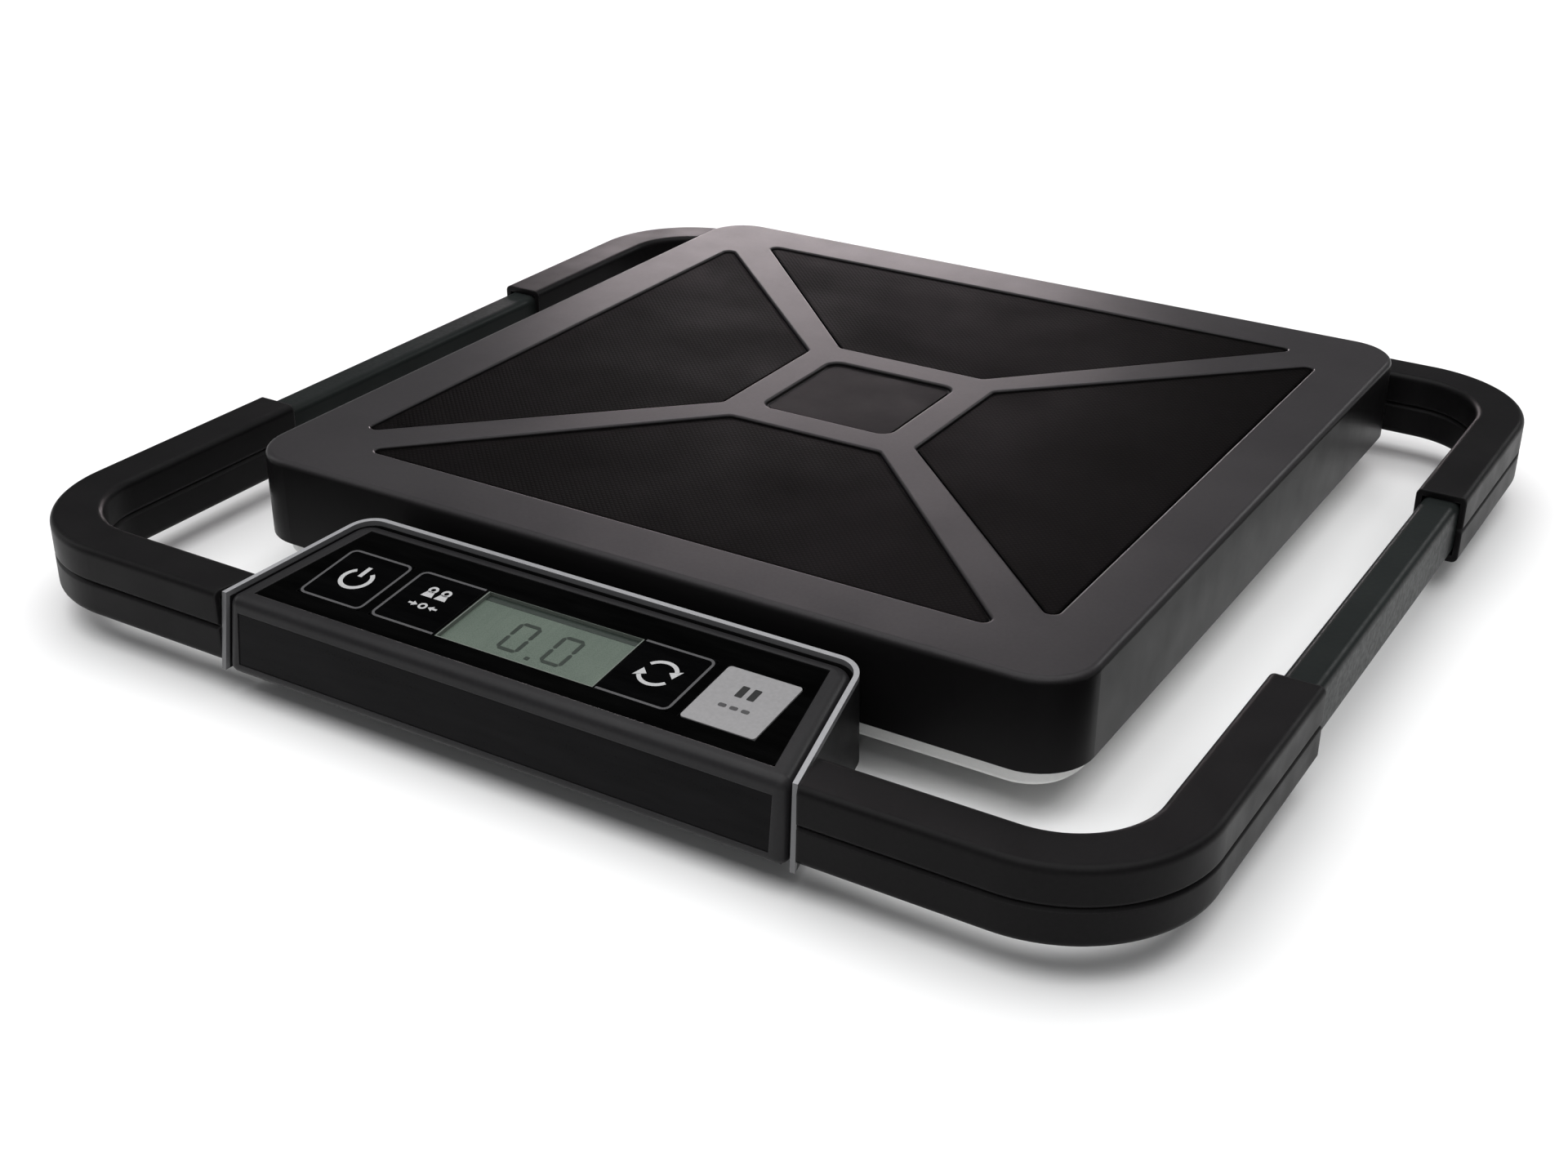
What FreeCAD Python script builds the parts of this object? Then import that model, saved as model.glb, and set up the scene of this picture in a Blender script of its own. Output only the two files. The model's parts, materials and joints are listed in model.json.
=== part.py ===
import FreeCAD, Part
import math
import os
import Sketcher
from FreeCAD import Placement, Rotation, Vector

# Portable platform shipping scale.
# Millimetres, +X to the right of someone facing the display, +Y to the back, +Z up. The origin is on the
# floor, at the middle of the whole scale's outline. A square platform floats on four load cells in a base
# tray; a loop of rectangular tube with moulded corner sleeves surrounds it and carries the display unit,
# which docks in a cradle in the middle of the front bar.

DIMENSIONS = {
    # platform
    "platform_y": 21.5,
    "platform_side": 301.0,
    "platform_corner": 18.0,
    "platform_edge": 2.2,
    "platform_top": 47.0,
    "skirt_bottom": 17.0,
    "skirt_wall": 2.5,
    "deck_thickness": 3.0,
    "pad_outer": 128.3,
    "pad_inner": 38.3,
    "pad_outer_half": 117.0,
    "pad_inner_half": 29.6,
    "pad_corner": 2.6,
    "pad_recess": 1.6,
    "pad_thickness": 1.0,
    "pad_gap": 0.6,
    "rib_edge": 0.9,
    "badge_half": 25.4,
    "badge_corner": 5.0,
    "badge_gap": 1.1,
    "badge_recess": 1.5,
    "badge_thickness": 0.7,
    "support_half": 131.0,
    "support_sheet": 1.5,
    "support_flange": 10.0,
    "support_corner": 15.0,
    # base
    "tray_half": 146.4,
    "tray_corner": 17.0,
    "tray_bottom": 9.0,
    "tray_top": 27.0,
    "tray_wall": 2.2,
    "tray_floor": 2.5,
    "tray_chamfer": 2.0,
    "cell_place": 115.0,
    "cell_half": 17.0,
    "cell_plate": 3.0,
    "cell_slot": 1.6,
    "cell_tongue": 6.0,
    "holder_half": 21.0,
    "holder_height": 8.5,
    "holder_well": 14.0,
    "holder_well_depth": 5.0,
    "button_radius": 5.0,
    "button_flange": 9.0,
    "button_flange_height": 2.0,
    "button_gap": 0.7,
    "foot_radius": 14.0,
    "foot_bevel": 1.5,
    "foot_stem": 6.0,
    "board_half_x": 30.0,
    "board_half_y": 22.0,
    "board_thickness": 1.6,
    "standoff_height": 5.0,
    "standoff_radius": 3.0,
    "standoff_inset": 4.0,
    "lead_radius": 1.2,
    "trunk_radius": 1.7,
    "trunk_height": 14.0,
    "lead_turn_x": 52.0,
    "lead_turn_y": 58.0,
    "lead_entry": 12.0,
    # screws
    "screw_hole": 1.5,
    "screw_head": 2.8,
    "screw_sink": 1.3,
    # frame loop
    "loop_half": 193.0,
    "loop_front": -183.5,
    "loop_rear": 184.5,
    "loop_middle": 23.0,
    "loop_bend": 35.5,
    "tube_width": 12.5,
    "tube_height": 19.0,
    "tube_wall": 1.5,
    "tube_round": 2.8,
    "sleeve_width": 17.0,
    "sleeve_height": 24.0,
    "sleeve_round": 2.2,
    "sleeve_clear": 0.2,
    "sleeve_groove": 1.0,
    "sleeve_screw_inset": 12.0,
    "sleeve_screw_place": 120.0,
    "front_sleeve_end": -70.0,
    "rear_sleeve_end": 76.5,
    "rear_sleeve_start": 97.0,
    "strap_bottom": 6.5,
    "strap_thickness": 2.5,
    "strap_place": 65.0,
    "strap_half": 14.0,
    "strap_lap": 37.0,
    "strap_screw_near": 9.0,
    "strap_screw_far": 26.0,
    "tube_screw_step": 8.0,
    "cradle_screw_near": 8.0,
    "cradle_screw_far": 22.0,
    # console: the crease is the line where its sloping top meets its front face
    "crease_y": -190.4,
    "crease_z": 34.15,
    "console_tilt": 6.7,
    "unit_front_half": 99.0,
    "unit_rear_half": 88.7,
    "unit_depth": 53.6,
    "unit_height": 24.9,
    "face_lean": 6.63,
    "unit_wall": 2.2,
    "unit_crease_round": 3.6,
    "unit_bottom_round": 2.6,
    "unit_rear_corner": 7.0,
    "unit_front_corner": 3.5,
    "window_front": 4.7,
    "window_rear": 48.6,
    "window_front_half": 91.9,
    "window_rear_half": 83.3,
    "window_recess": 1.4,
    "window_thickness": 1.2,
    "window_gap": 0.15,
    "window_ledge": 2.0,
    "fascia_half": 94.4,
    "fascia_top": 4.6,
    "fascia_bottom": 21.6,
    "fascia_recess": 1.2,
    "fascia_thickness": 0.9,
    "key_front": 12.1,
    "key_rear": 38.1,
    "key_width": 24.0,
    "key_height": 2.7,
    "key_gap": 0.3,
    "key_stem": 2.5,
    "inner_key": 29.0,
    "outer_key": 57.0,
    "lcd_half": 28.2,
    "lcd_border": 0.5,
    "lcd_margin": 2.6,
    "lcd_depth": 1.6,
    "lcd_thickness": 2.8,
    "main_board_depth": 8.0,
    "switch_half": 3.0,
    "switch_height": 2.8,
    "plunger_height": 3.4,
    "plunger_radius": 1.6,
    "usb_place": 26.0,
    "usb_width": 8.0,
    "usb_height": 4.9,
    "usb_wall": 0.8,
    "inlet_place": 38.5,
    "inlet_width": 9.0,
    "inlet_height": 7.9,
    "inlet_bore": 2.9,
    "inlet_pin": 1.0,
    "inlet_depth": 9.0,
    "port_gap": 0.4,
    "cradle_gap": 0.8,
    "cradle_wall": 1.6,
    "cradle_floor": 2.2,
    "cradle_front": 2.2,
    "cradle_floor_front": 19.0,
    "cradle_lip": 1.5,
    "trim_width": 1.4,
    "door_slot_half": 29.0,
    "door_slot_rear": 49.0,
    "port_slot_front": 19.0,
    "port_slot_rear": 46.0,
    "port_slot_low": 19.0,
    "port_slot_high": 8.5,
    "spigot_length": 30.0,
    "bay_half": 26.0,
    "bay_front": 10.4,
    "bay_rear": 45.0,
    "bay_wall": 1.5,
    "bay_ceiling": 12.2,
    "cover_thickness": 1.8,
    "post_radius": 2.5,
    "post_front_place": 86.0,
    "post_front_depth": 10.0,
    "post_rear_place": 35.0,
    "post_rear_depth": 44.0,
    "contact_half": 4.0,
    "contact_sheet": 0.5,
    "door_thickness": 1.5,
    "battery_radius": 5.2,
    "battery_length": 43.7,
    "door_gap": 0.5,
    "hinge_depth": 43.35,
    "hinge_level": 23.3,
    "hinge_barrel": 1.2,
    "hinge_pin": 0.8,
    "hinge_pin_end": 27.0,
    "hinge_play": 0.3,
    "dock_place": 50.0,
    "dock_half": 8.0,
    "dock_height": 6.4,
}

doc = FreeCAD.newDocument("platform_shipping_scale")
sheet = doc.addObject("Spreadsheet::Sheet", "Dims")
for row, (alias, value) in enumerate(DIMENSIONS.items(), start=1):
    sheet.set("A%d" % row, alias)
    sheet.set("B%d" % row, str(value))
    sheet.setAlias("B%d" % row, alias)
doc.recompute()

subparts = []
TOLERANCE = 0.01


def value_of(alias):
    return DIMENSIONS[alias]


def check(thing):
    doc.recompute()
    if "Invalid" in thing.State or "Error" in thing.State or thing.Shape.isNull():
        raise RuntimeError("%s failed: %s" % (thing.Label, thing.State))


# ---- stations: where a group of sub-parts has its own upright or tilted frame ----

WORLD = {}
PLATFORM = {"Placement.Base.y": "Dims.platform_y"}
CONSOLE = {
    "Placement.Base.y": "Dims.crease_y",
    "Placement.Base.z": "Dims.crease_z",
    "Placement.Rotation.Angle": "Dims.console_tilt",
}


def put(thing, station, turn=0):
    """Place an object at a station: tilted about X on the console, turned about Z elsewhere."""
    axis = Vector(1, 0, 0) if station is CONSOLE else Vector(0, 0, 1)
    thing.Placement = Placement(Vector(0, 0, 0), Rotation(axis, turn))
    for name, text in station.items():
        thing.setExpression(name, text)


# ---- PartDesign helpers ----

def new_body(name, station=WORLD, turn=0, kept=True):
    body = doc.addObject("PartDesign::Body", name)
    body.Label = name
    put(body, station, turn)
    if kept:
        subparts.append(body)
    return body


def origin_feature(body, role):
    return next(item for item in body.Origin.OriginFeatures if item.Role == role)


def new_sketch(body, level="0", plane="XY_Plane"):
    """A sketch on one of the body's origin planes, moved along that plane's normal by a level."""
    sketch = body.newObject("Sketcher::SketchObject", body.Name + "_sketch")
    sketch.AttachmentSupport = [(origin_feature(body, plane), "")]
    sketch.MapMode = "FlatFace"
    sketch.setExpression("AttachmentOffset.Base.z", level)
    return sketch


def place_point(sketch, geometry, end, x, y, start):
    for axis, text, guess in (("X", x, start.x), ("Y", y, start.y)):
        index = sketch.addConstraint(Sketcher.Constraint("Distance" + axis, -1, 1, geometry, end, guess))
        name = "%s_%d" % (axis.lower(), geometry)
        sketch.renameConstraint(index, name)
        sketch.setExpression("Constraints." + name, text)


def polygon(sketch, corners):
    """A closed outline through corners given as pairs of expressions."""
    first = sketch.GeometryCount
    count = len(corners)
    start = [Vector(math.cos(math.tau * i / count), math.sin(math.tau * i / count), 0) for i in range(count)]
    for i in range(count):
        sketch.addGeometry(Part.LineSegment(start[i], start[(i + 1) % count]))
    for i in range(count):
        after = first + (i + 1) % count
        sketch.addConstraint(Sketcher.Constraint("Coincident", first + i, 2, after, 1))
    for i, (x, y) in enumerate(corners):
        place_point(sketch, first + i, 1, x, y, start[i])


def rectangle(sketch, x_low, x_high, y_low, y_high):
    polygon(sketch, [(x_low, y_low), (x_high, y_low), (x_high, y_high), (x_low, y_high)])


def square(sketch, half):
    rectangle(sketch, "-(%s)" % half, half, "-(%s)" % half, half)


def circle(sketch, x, y, radius):
    geometry = sketch.addGeometry(Part.Circle(Vector(1, 1, 0), Vector(0, 0, 1), 1))
    place_point(sketch, geometry, 3, x, y, Vector(1, 1, 0))
    index = sketch.addConstraint(Sketcher.Constraint("Radius", geometry, 1.0))
    sketch.renameConstraint(index, "radius_%d" % geometry)
    sketch.setExpression("Constraints.radius_%d" % geometry, radius)


def pad(body, sketch, length, middle=False):
    feature = body.newObject("PartDesign::Pad", body.Name + "_pad")
    feature.Profile = sketch
    feature.SideType = "Symmetric" if middle else "One side"
    feature.setExpression("Length", length)
    check(feature)
    return feature


def pocket(body, sketch, length, up=False):
    """Cut a sketch away from its plane, against the plane's normal unless up is set."""
    before = body.Tip.Shape.Volume
    feature = body.newObject("PartDesign::Pocket", body.Name + "_pocket")
    feature.Profile = sketch
    feature.Reversed = up
    feature.setExpression("Length", length)
    check(feature)
    if feature.Shape.Volume > before - TOLERANCE:
        raise RuntimeError("%s: a pocket cuts nothing" % body.Label)
    return feature


def dress(body, kind, size, chosen):
    """Fillet or chamfer the edges of the body's tip that a test picks."""
    base = body.Tip
    edges = ["Edge%d" % (i + 1) for i, edge in enumerate(base.Shape.Edges) if chosen(edge)]
    if not edges:
        raise RuntimeError("%s: no edge to dress" % body.Label)
    feature = body.newObject("PartDesign::" + kind, body.Name + "_" + kind.lower())
    feature.Base = (base, edges)
    feature.setExpression("Radius" if kind == "Fillet" else "Size", size)
    check(feature)
    return feature


def upright(edge, length=None):
    """Whether an edge is straight and vertical, and of a given length if one is stated."""
    if edge.Curve.TypeId != "Part::GeomLine":
        return False
    direction = edge.tangentAt(edge.FirstParameter)
    if abs(abs(direction.z) - 1) > TOLERANCE:
        return False
    return length is None or abs(edge.Length - length) < TOLERANCE


def level_edge(edge, z):
    """Whether an edge lies wholly at one height."""
    box = edge.BoundBox
    return abs(box.ZMin - z) < TOLERANCE and abs(box.ZMax - z) < TOLERANCE


def round_corners(body, radius, wall, among=upright):
    """Round the upright corners of a thin-walled box: first those of its hollow, then its outside."""
    picked = [edge.CenterOfMass for edge in body.Tip.Shape.Edges if upright(edge) and among(edge)]
    reach = max(abs(centre.x) + abs(centre.y) for centre in picked)

    def outer(edge):
        centre = edge.CenterOfMass
        return upright(edge) and among(edge) and abs(centre.x) + abs(centre.y) > reach - 1

    def inner(edge):
        return upright(edge) and among(edge) and not outer(edge)

    dress(body, "Fillet", "%s - %s" % (radius, wall), inner)
    dress(body, "Fillet", radius, outer)


def four_ways(distance_x, distance_y):
    signs = ("-", "")
    return [("%s(%s)" % (sx, distance_x), "%s(%s)" % (sy, distance_y)) for sx in signs for sy in signs]


def screws(name, points, seat, length, station=WORLD, head_radius=2.6, head_height=1.8, shank=1.4):
    """Pan-head screws whose heads hang below a seat and whose shanks run up from it."""
    body = new_body(name, station)
    heads = new_sketch(body, seat)
    shanks = new_sketch(body, seat)
    slots = new_sketch(body, "%s - %s" % (seat, head_height))
    for x, y in points:
        circle(heads, x, y, str(head_radius))
        circle(shanks, x, y, str(shank))
        arm = 1.4
        bar = 0.35
        rows = [(-bar, -arm), (bar, -arm), (bar, -bar), (arm, -bar), (arm, bar), (bar, bar),
                (bar, arm), (-bar, arm), (-bar, bar), (-arm, bar), (-arm, -bar), (-bar, -bar)]
        polygon(slots, [("%s + %s" % (x, a), "%s + %s" % (y, b)) for a, b in rows])
    first = pad(body, heads, str(head_height))
    first.Reversed = True
    check(first)
    pad(body, shanks, length)
    pocket(body, slots, str(head_height / 2), up=True)
    return body


# ---- platform: cover, pads, badge, support pan and load buttons ----

PAD_SLOPE = "((Dims.pad_outer_half - Dims.pad_inner_half) / (Dims.pad_outer - Dims.pad_inner))"
PAD_SLANT = "sqrt(1 + %s * %s)" % (PAD_SLOPE, PAD_SLOPE)


def pad_outline(sketch, gap):
    """The trapezoid between two ribs, drawn inside its recess by a gap on every side."""
    outer_half = "Dims.pad_outer_half - %s * (%s + %s)" % (gap, PAD_SLOPE, PAD_SLANT)
    inner_half = "Dims.pad_inner_half + %s * (%s - %s)" % (gap, PAD_SLOPE, PAD_SLANT)
    outer_y = "-Dims.pad_outer + %s" % gap
    inner_y = "-Dims.pad_inner - %s" % gap
    polygon(sketch, [
        ("-(%s)" % outer_half, outer_y), (outer_half, outer_y),
        (inner_half, inner_y), ("-(%s)" % inner_half, inner_y)])


def on_rib(edge):
    """Whether an edge lies on the platform's top inside its rim, where a recess begins."""
    centre = edge.CenterOfMass
    inside = max(abs(centre.x), abs(centre.y)) < value_of("pad_outer") + 1
    return inside and level_edge(edge, value_of("platform_top"))


def make_platform_cover():
    body = new_body("platform_cover", PLATFORM)
    outline = new_sketch(body, "Dims.skirt_bottom")
    square(outline, "Dims.platform_side / 2")
    pad(body, outline, "Dims.platform_top - Dims.skirt_bottom")
    hollow = new_sketch(body, "Dims.skirt_bottom")
    square(hollow, "Dims.platform_side / 2 - Dims.skirt_wall")
    pocket(body, hollow, "Dims.platform_top - Dims.skirt_bottom - Dims.deck_thickness", up=True)
    round_corners(body, "Dims.platform_corner", "Dims.skirt_wall")
    dress(body, "Fillet", "Dims.platform_edge", lambda e: level_edge(e, value_of("platform_top")))
    recess = new_sketch(body, "Dims.platform_top")
    pad_outline(recess, "0")
    cut = pocket(body, recess, "Dims.pad_recess")
    pattern = body.newObject("PartDesign::PolarPattern", "pad_recesses")
    pattern.Originals = [cut]
    pattern.Axis = (origin_feature(body, "Z_Axis"), [""])
    pattern.Angle = 360
    pattern.Occurrences = 4
    body.Tip = pattern
    check(pattern)
    dress(body, "Fillet", "Dims.pad_corner", lambda e: upright(e, value_of("pad_recess")))
    centre = new_sketch(body, "Dims.platform_top")
    square(centre, "Dims.badge_half")
    pocket(body, centre, "Dims.badge_recess")
    dress(body, "Fillet", "Dims.badge_corner", lambda e: upright(e, value_of("badge_recess")))
    dress(body, "Fillet", "Dims.rib_edge", on_rib)


def make_pads():
    for turn, name in enumerate(("pad_front", "pad_right", "pad_rear", "pad_left")):
        body = new_body(name, PLATFORM, turn=90 * turn)
        outline = new_sketch(body, "Dims.platform_top - Dims.pad_recess")
        pad_outline(outline, "Dims.pad_gap")
        pad(body, outline, "Dims.pad_thickness")
        dress(body, "Fillet", "Dims.pad_corner - Dims.pad_gap", upright)


def make_centre_badge():
    body = new_body("centre_badge", PLATFORM)
    outline = new_sketch(body, "Dims.platform_top - Dims.badge_recess")
    square(outline, "Dims.badge_half - Dims.badge_gap")
    pad(body, outline, "Dims.badge_thickness")
    dress(body, "Fillet", "Dims.badge_corner - Dims.badge_gap", upright)


def make_support_pan():
    """The folded steel pan that carries the moulded cover and lands on the load buttons."""
    body = new_body("support_pan", PLATFORM)
    top = "Dims.platform_top - Dims.deck_thickness"
    outline = new_sketch(body, top + " - Dims.support_flange")
    square(outline, "Dims.support_half")
    pad(body, outline, "Dims.support_flange")
    hollow = new_sketch(body, top + " - Dims.support_flange")
    square(hollow, "Dims.support_half - Dims.support_sheet")
    pocket(body, hollow, "Dims.support_flange - Dims.support_sheet", up=True)
    round_corners(body, "Dims.support_corner", "Dims.support_sheet")


CELL_TOP = "Dims.tray_bottom + Dims.tray_floor + Dims.holder_height + Dims.cell_plate"
CELL_POINTS = four_ways("Dims.cell_place", "Dims.cell_place")


def make_load_buttons():
    body = new_body("load_buttons", PLATFORM)
    underside = "Dims.platform_top - Dims.deck_thickness - Dims.support_sheet"
    stems = new_sketch(body, "%s + Dims.button_gap" % CELL_TOP)
    flanges = new_sketch(body, "%s - Dims.button_flange_height" % underside)
    for x, y in CELL_POINTS:
        circle(stems, x, y, "Dims.button_radius")
        circle(flanges, x, y, "Dims.button_flange")
    pad(body, stems, "%s - (%s) - Dims.button_gap" % (underside, CELL_TOP))
    pad(body, flanges, "Dims.button_flange_height")
    dress(body, "Fillet", "1.2", lambda e: level_edge(e, body.Shape.BoundBox.ZMin))


# ---- base: tray, load cells, feet, wiring and straps ----

STRAP_FRONT_REACH = "Dims.crease_y + 20"
STRAP_TRAY_FRONT = "Dims.platform_y - Dims.tray_half + Dims.strap_lap"
STRAP_TRAY_REAR = "Dims.platform_y + Dims.tray_half - Dims.strap_lap"
STRAP_TOP = "Dims.strap_bottom + Dims.strap_thickness"
TRAY_SCREWS = [(s + "Dims.strap_place", y) for s in ("-", "") for y in (
    STRAP_TRAY_FRONT + " - Dims.strap_screw_near", STRAP_TRAY_FRONT + " - Dims.strap_screw_far",
    STRAP_TRAY_REAR + " + Dims.strap_screw_near", STRAP_TRAY_REAR + " + Dims.strap_screw_far")]
CRADLE_SCREWS = [(s + "Dims.strap_place", STRAP_FRONT_REACH + " + Dims.cradle_screw_" + step)
                 for s in ("-", "") for step in ("near", "far")]
TUBE_SCREWS = [("%sDims.strap_place %s Dims.tube_screw_step" % (s, way), "Dims.loop_rear")
               for s in ("-", "") for way in ("+", "-")]


def make_base_tray():
    body = new_body("base_tray", PLATFORM)
    outline = new_sketch(body, "Dims.tray_bottom")
    square(outline, "Dims.tray_half")
    pad(body, outline, "Dims.tray_top - Dims.tray_bottom")
    hollow = new_sketch(body, "Dims.tray_top")
    square(hollow, "Dims.tray_half - Dims.tray_wall")
    pocket(body, hollow, "Dims.tray_top - Dims.tray_bottom - Dims.tray_floor")
    round_corners(body, "Dims.tray_corner", "Dims.tray_wall")
    dress(body, "Chamfer", "Dims.tray_chamfer", lambda e: level_edge(e, value_of("tray_bottom")))
    holes = new_sketch(body, "Dims.tray_bottom + Dims.tray_floor")
    for x, y in CELL_POINTS:
        circle(holes, x, y, "Dims.foot_stem + 0.1")
    for x, y in TRAY_SCREWS:
        circle(holes, x, "%s - Dims.platform_y" % y, "Dims.screw_hole")
    pocket(body, holes, "Dims.tray_floor")
    notch = new_sketch(body, "Dims.tray_half - 2 * Dims.tray_wall", "XZ_Plane")
    circle(notch, "0", "Dims.trunk_height", "Dims.trunk_radius + 0.3")
    pocket(body, notch, "3 * Dims.tray_wall", up=True)


def make_load_cells():
    corners = {"front_left": (-1, -1), "front_right": (1, -1), "rear_left": (-1, 1), "rear_right": (1, 1)}
    for corner, (sx, sy) in corners.items():
        station = {
            "Placement.Base.x": "%d * Dims.cell_place" % sx,
            "Placement.Base.y": "Dims.platform_y + %d * Dims.cell_place" % sy,
        }
        make_load_cell("load_cell_" + corner, station, 90 if sy < 0 else -90)
        make_foot("foot_" + corner, station)


def make_load_cell(name, station, turn):
    """A square steel half-bridge plate: a U slot frees the tongue that the load button presses."""
    body = new_body(name, station, turn)
    plate = new_sketch(body, "%s - Dims.cell_plate" % CELL_TOP)
    square(plate, "Dims.cell_half")
    pad(body, plate, "Dims.cell_plate")
    dress(body, "Fillet", "3", upright)
    slot = new_sketch(body, CELL_TOP)
    inner = "Dims.cell_tongue"
    outer = "Dims.cell_tongue + Dims.cell_slot"
    reach = "Dims.cell_half - 5"
    root = "-Dims.cell_half + 7"
    polygon(slot, [
        ("-(%s)" % outer, root), ("-(%s)" % inner, root),
        ("-(%s)" % inner, "%s - Dims.cell_slot" % reach), (inner, "%s - Dims.cell_slot" % reach),
        (inner, root), (outer, root), (outer, reach), ("-(%s)" % outer, reach)])
    pocket(body, slot, "Dims.cell_plate")


def make_foot(name, station):
    """A round rubber foot, revolved, with a stem that plugs into the tray floor."""
    body = new_body(name, station)
    profile = new_sketch(body, "0", "XZ_Plane")
    polygon(profile, [
        ("0", "0"), ("Dims.foot_radius - Dims.foot_bevel", "0"),
        ("Dims.foot_radius", "Dims.foot_bevel"), ("Dims.foot_radius", "Dims.tray_bottom"),
        ("Dims.foot_stem", "Dims.tray_bottom"), ("Dims.foot_stem", "Dims.tray_bottom + Dims.tray_floor"),
        ("0", "Dims.tray_bottom + Dims.tray_floor")])
    turned = body.newObject("PartDesign::Revolution", name + "_turned")
    turned.Profile = profile
    turned.ReferenceAxis = (profile, ["V_Axis"])
    turned.Angle = 360
    check(turned)


def make_cell_holders():
    body = new_body("cell_holders", PLATFORM)
    floor = "Dims.tray_bottom + Dims.tray_floor"
    blocks = new_sketch(body, floor)
    wells = new_sketch(body, "%s + Dims.holder_height" % floor)
    for x, y in CELL_POINTS:
        for sketch, half in ((blocks, "Dims.holder_half"), (wells, "Dims.holder_well")):
            rectangle(sketch, "%s - %s" % (x, half), "%s + %s" % (x, half),
                      "%s - %s" % (y, half), "%s + %s" % (y, half))
    pad(body, blocks, "Dims.holder_height")
    dress(body, "Fillet", "3", upright)
    pocket(body, wells, "Dims.holder_well_depth")


def make_junction_board():
    floor = "Dims.tray_bottom + Dims.tray_floor"
    board_bottom = "%s + Dims.standoff_height" % floor
    posts = new_body("board_standoffs", PLATFORM)
    rounds = new_sketch(posts, floor)
    points = four_ways("Dims.board_half_x - Dims.standoff_inset", "Dims.board_half_y - Dims.standoff_inset")
    for x, y in points:
        circle(rounds, x, y, "Dims.standoff_radius")
    pad(posts, rounds, "Dims.standoff_height")
    board = new_body("junction_board", PLATFORM)
    outline = new_sketch(board, board_bottom)
    rectangle(outline, "-Dims.board_half_x", "Dims.board_half_x", "-Dims.board_half_y", "Dims.board_half_y")
    pad(board, outline, "Dims.board_thickness")
    chips = new_body("junction_components", PLATFORM)
    blocks = new_sketch(chips, "%s + Dims.board_thickness" % board_bottom)
    for x, y, half_x, half_y in (("0", "2", "6", "4"), ("-18", "2", "4", "2.5"), ("18", "2", "4", "2.5")):
        rectangle(blocks, "%s - %s" % (x, half_x), "%s + %s" % (x, half_x),
                  "%s - %s" % (y, half_y), "%s + %s" % (y, half_y))
    pad(chips, blocks, "2.4")


TRUNK_REAR = "Dims.platform_y - Dims.board_half_y + 6"
TRUNK_FRONT = "Dims.crease_y + Dims.unit_depth + 1"


def tube_along(points, radius):
    """A round tube along straight runs joined by tangent arcs, as one solid."""
    edges = []
    here = points[0]
    for i in range(1, len(points) - 1):
        before = (points[i - 1] - points[i]).normalize()
        after = (points[i + 1] - points[i]).normalize()
        turn = math.pi - before.getAngle(after)
        shorter = min((points[i] - points[i - 1]).Length, (points[i + 1] - points[i]).Length)
        cut = 0.45 * shorter
        bend = cut / math.tan(turn / 2)
        start = points[i] + before * cut
        end = points[i] + after * cut
        inward = (before + after).normalize()
        centre = points[i] + inward * math.hypot(cut, bend)
        edges.append(Part.LineSegment(here, start).toShape())
        edges.append(Part.Arc(start, centre - inward * bend, end).toShape())
        here = end
    edges.append(Part.LineSegment(here, points[-1]).toShape())
    path = Part.Wire(edges)
    first = (points[1] - points[0]).normalize()
    ring = Part.Wire(Part.makeCircle(radius, points[0], first))
    return path.makePipeShell([ring], True, False)


def make_leads():
    """Four load-cell leads clipped to the tray floor, and the trunk lead forward to the cradle."""
    floor = value_of("tray_bottom") + value_of("tray_floor")
    height = floor + value_of("lead_radius") + 0.2
    place = value_of("cell_place")
    edge = place - value_of("holder_half")
    board_x = value_of("board_half_x") - 8
    turn_x = value_of("lead_turn_x")
    turn_y = value_of("lead_turn_y")
    entry = value_of("lead_entry")
    solids = []
    for sx in (-1, 1):
        for sy in (-1, 1):
            route = [
                Vector(sx * edge, sy * (place - 6), height),
                Vector(sx * (edge - 30), sy * (place - 6), height),
                Vector(sx * turn_x, sy * turn_y, height),
                Vector(sx * turn_x, sy * entry, height),
                Vector(sx * board_x, sy * entry, height),
            ]
            solids.append(tube_along(route, value_of("lead_radius")))
    leads = doc.addObject("Part::Feature", "sensor_leads")
    leads.Label = "sensor_leads"
    leads.Shape = Part.makeCompound(solids)
    put(leads, PLATFORM)
    subparts.append(leads)
    trunk = new_body("trunk_lead")
    section = new_sketch(trunk, "-(%s)" % TRUNK_REAR, "XZ_Plane")
    circle(section, "0", "Dims.trunk_height", "Dims.trunk_radius")
    pad(trunk, section, "%s - (%s)" % (TRUNK_REAR, TRUNK_FRONT))


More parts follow.
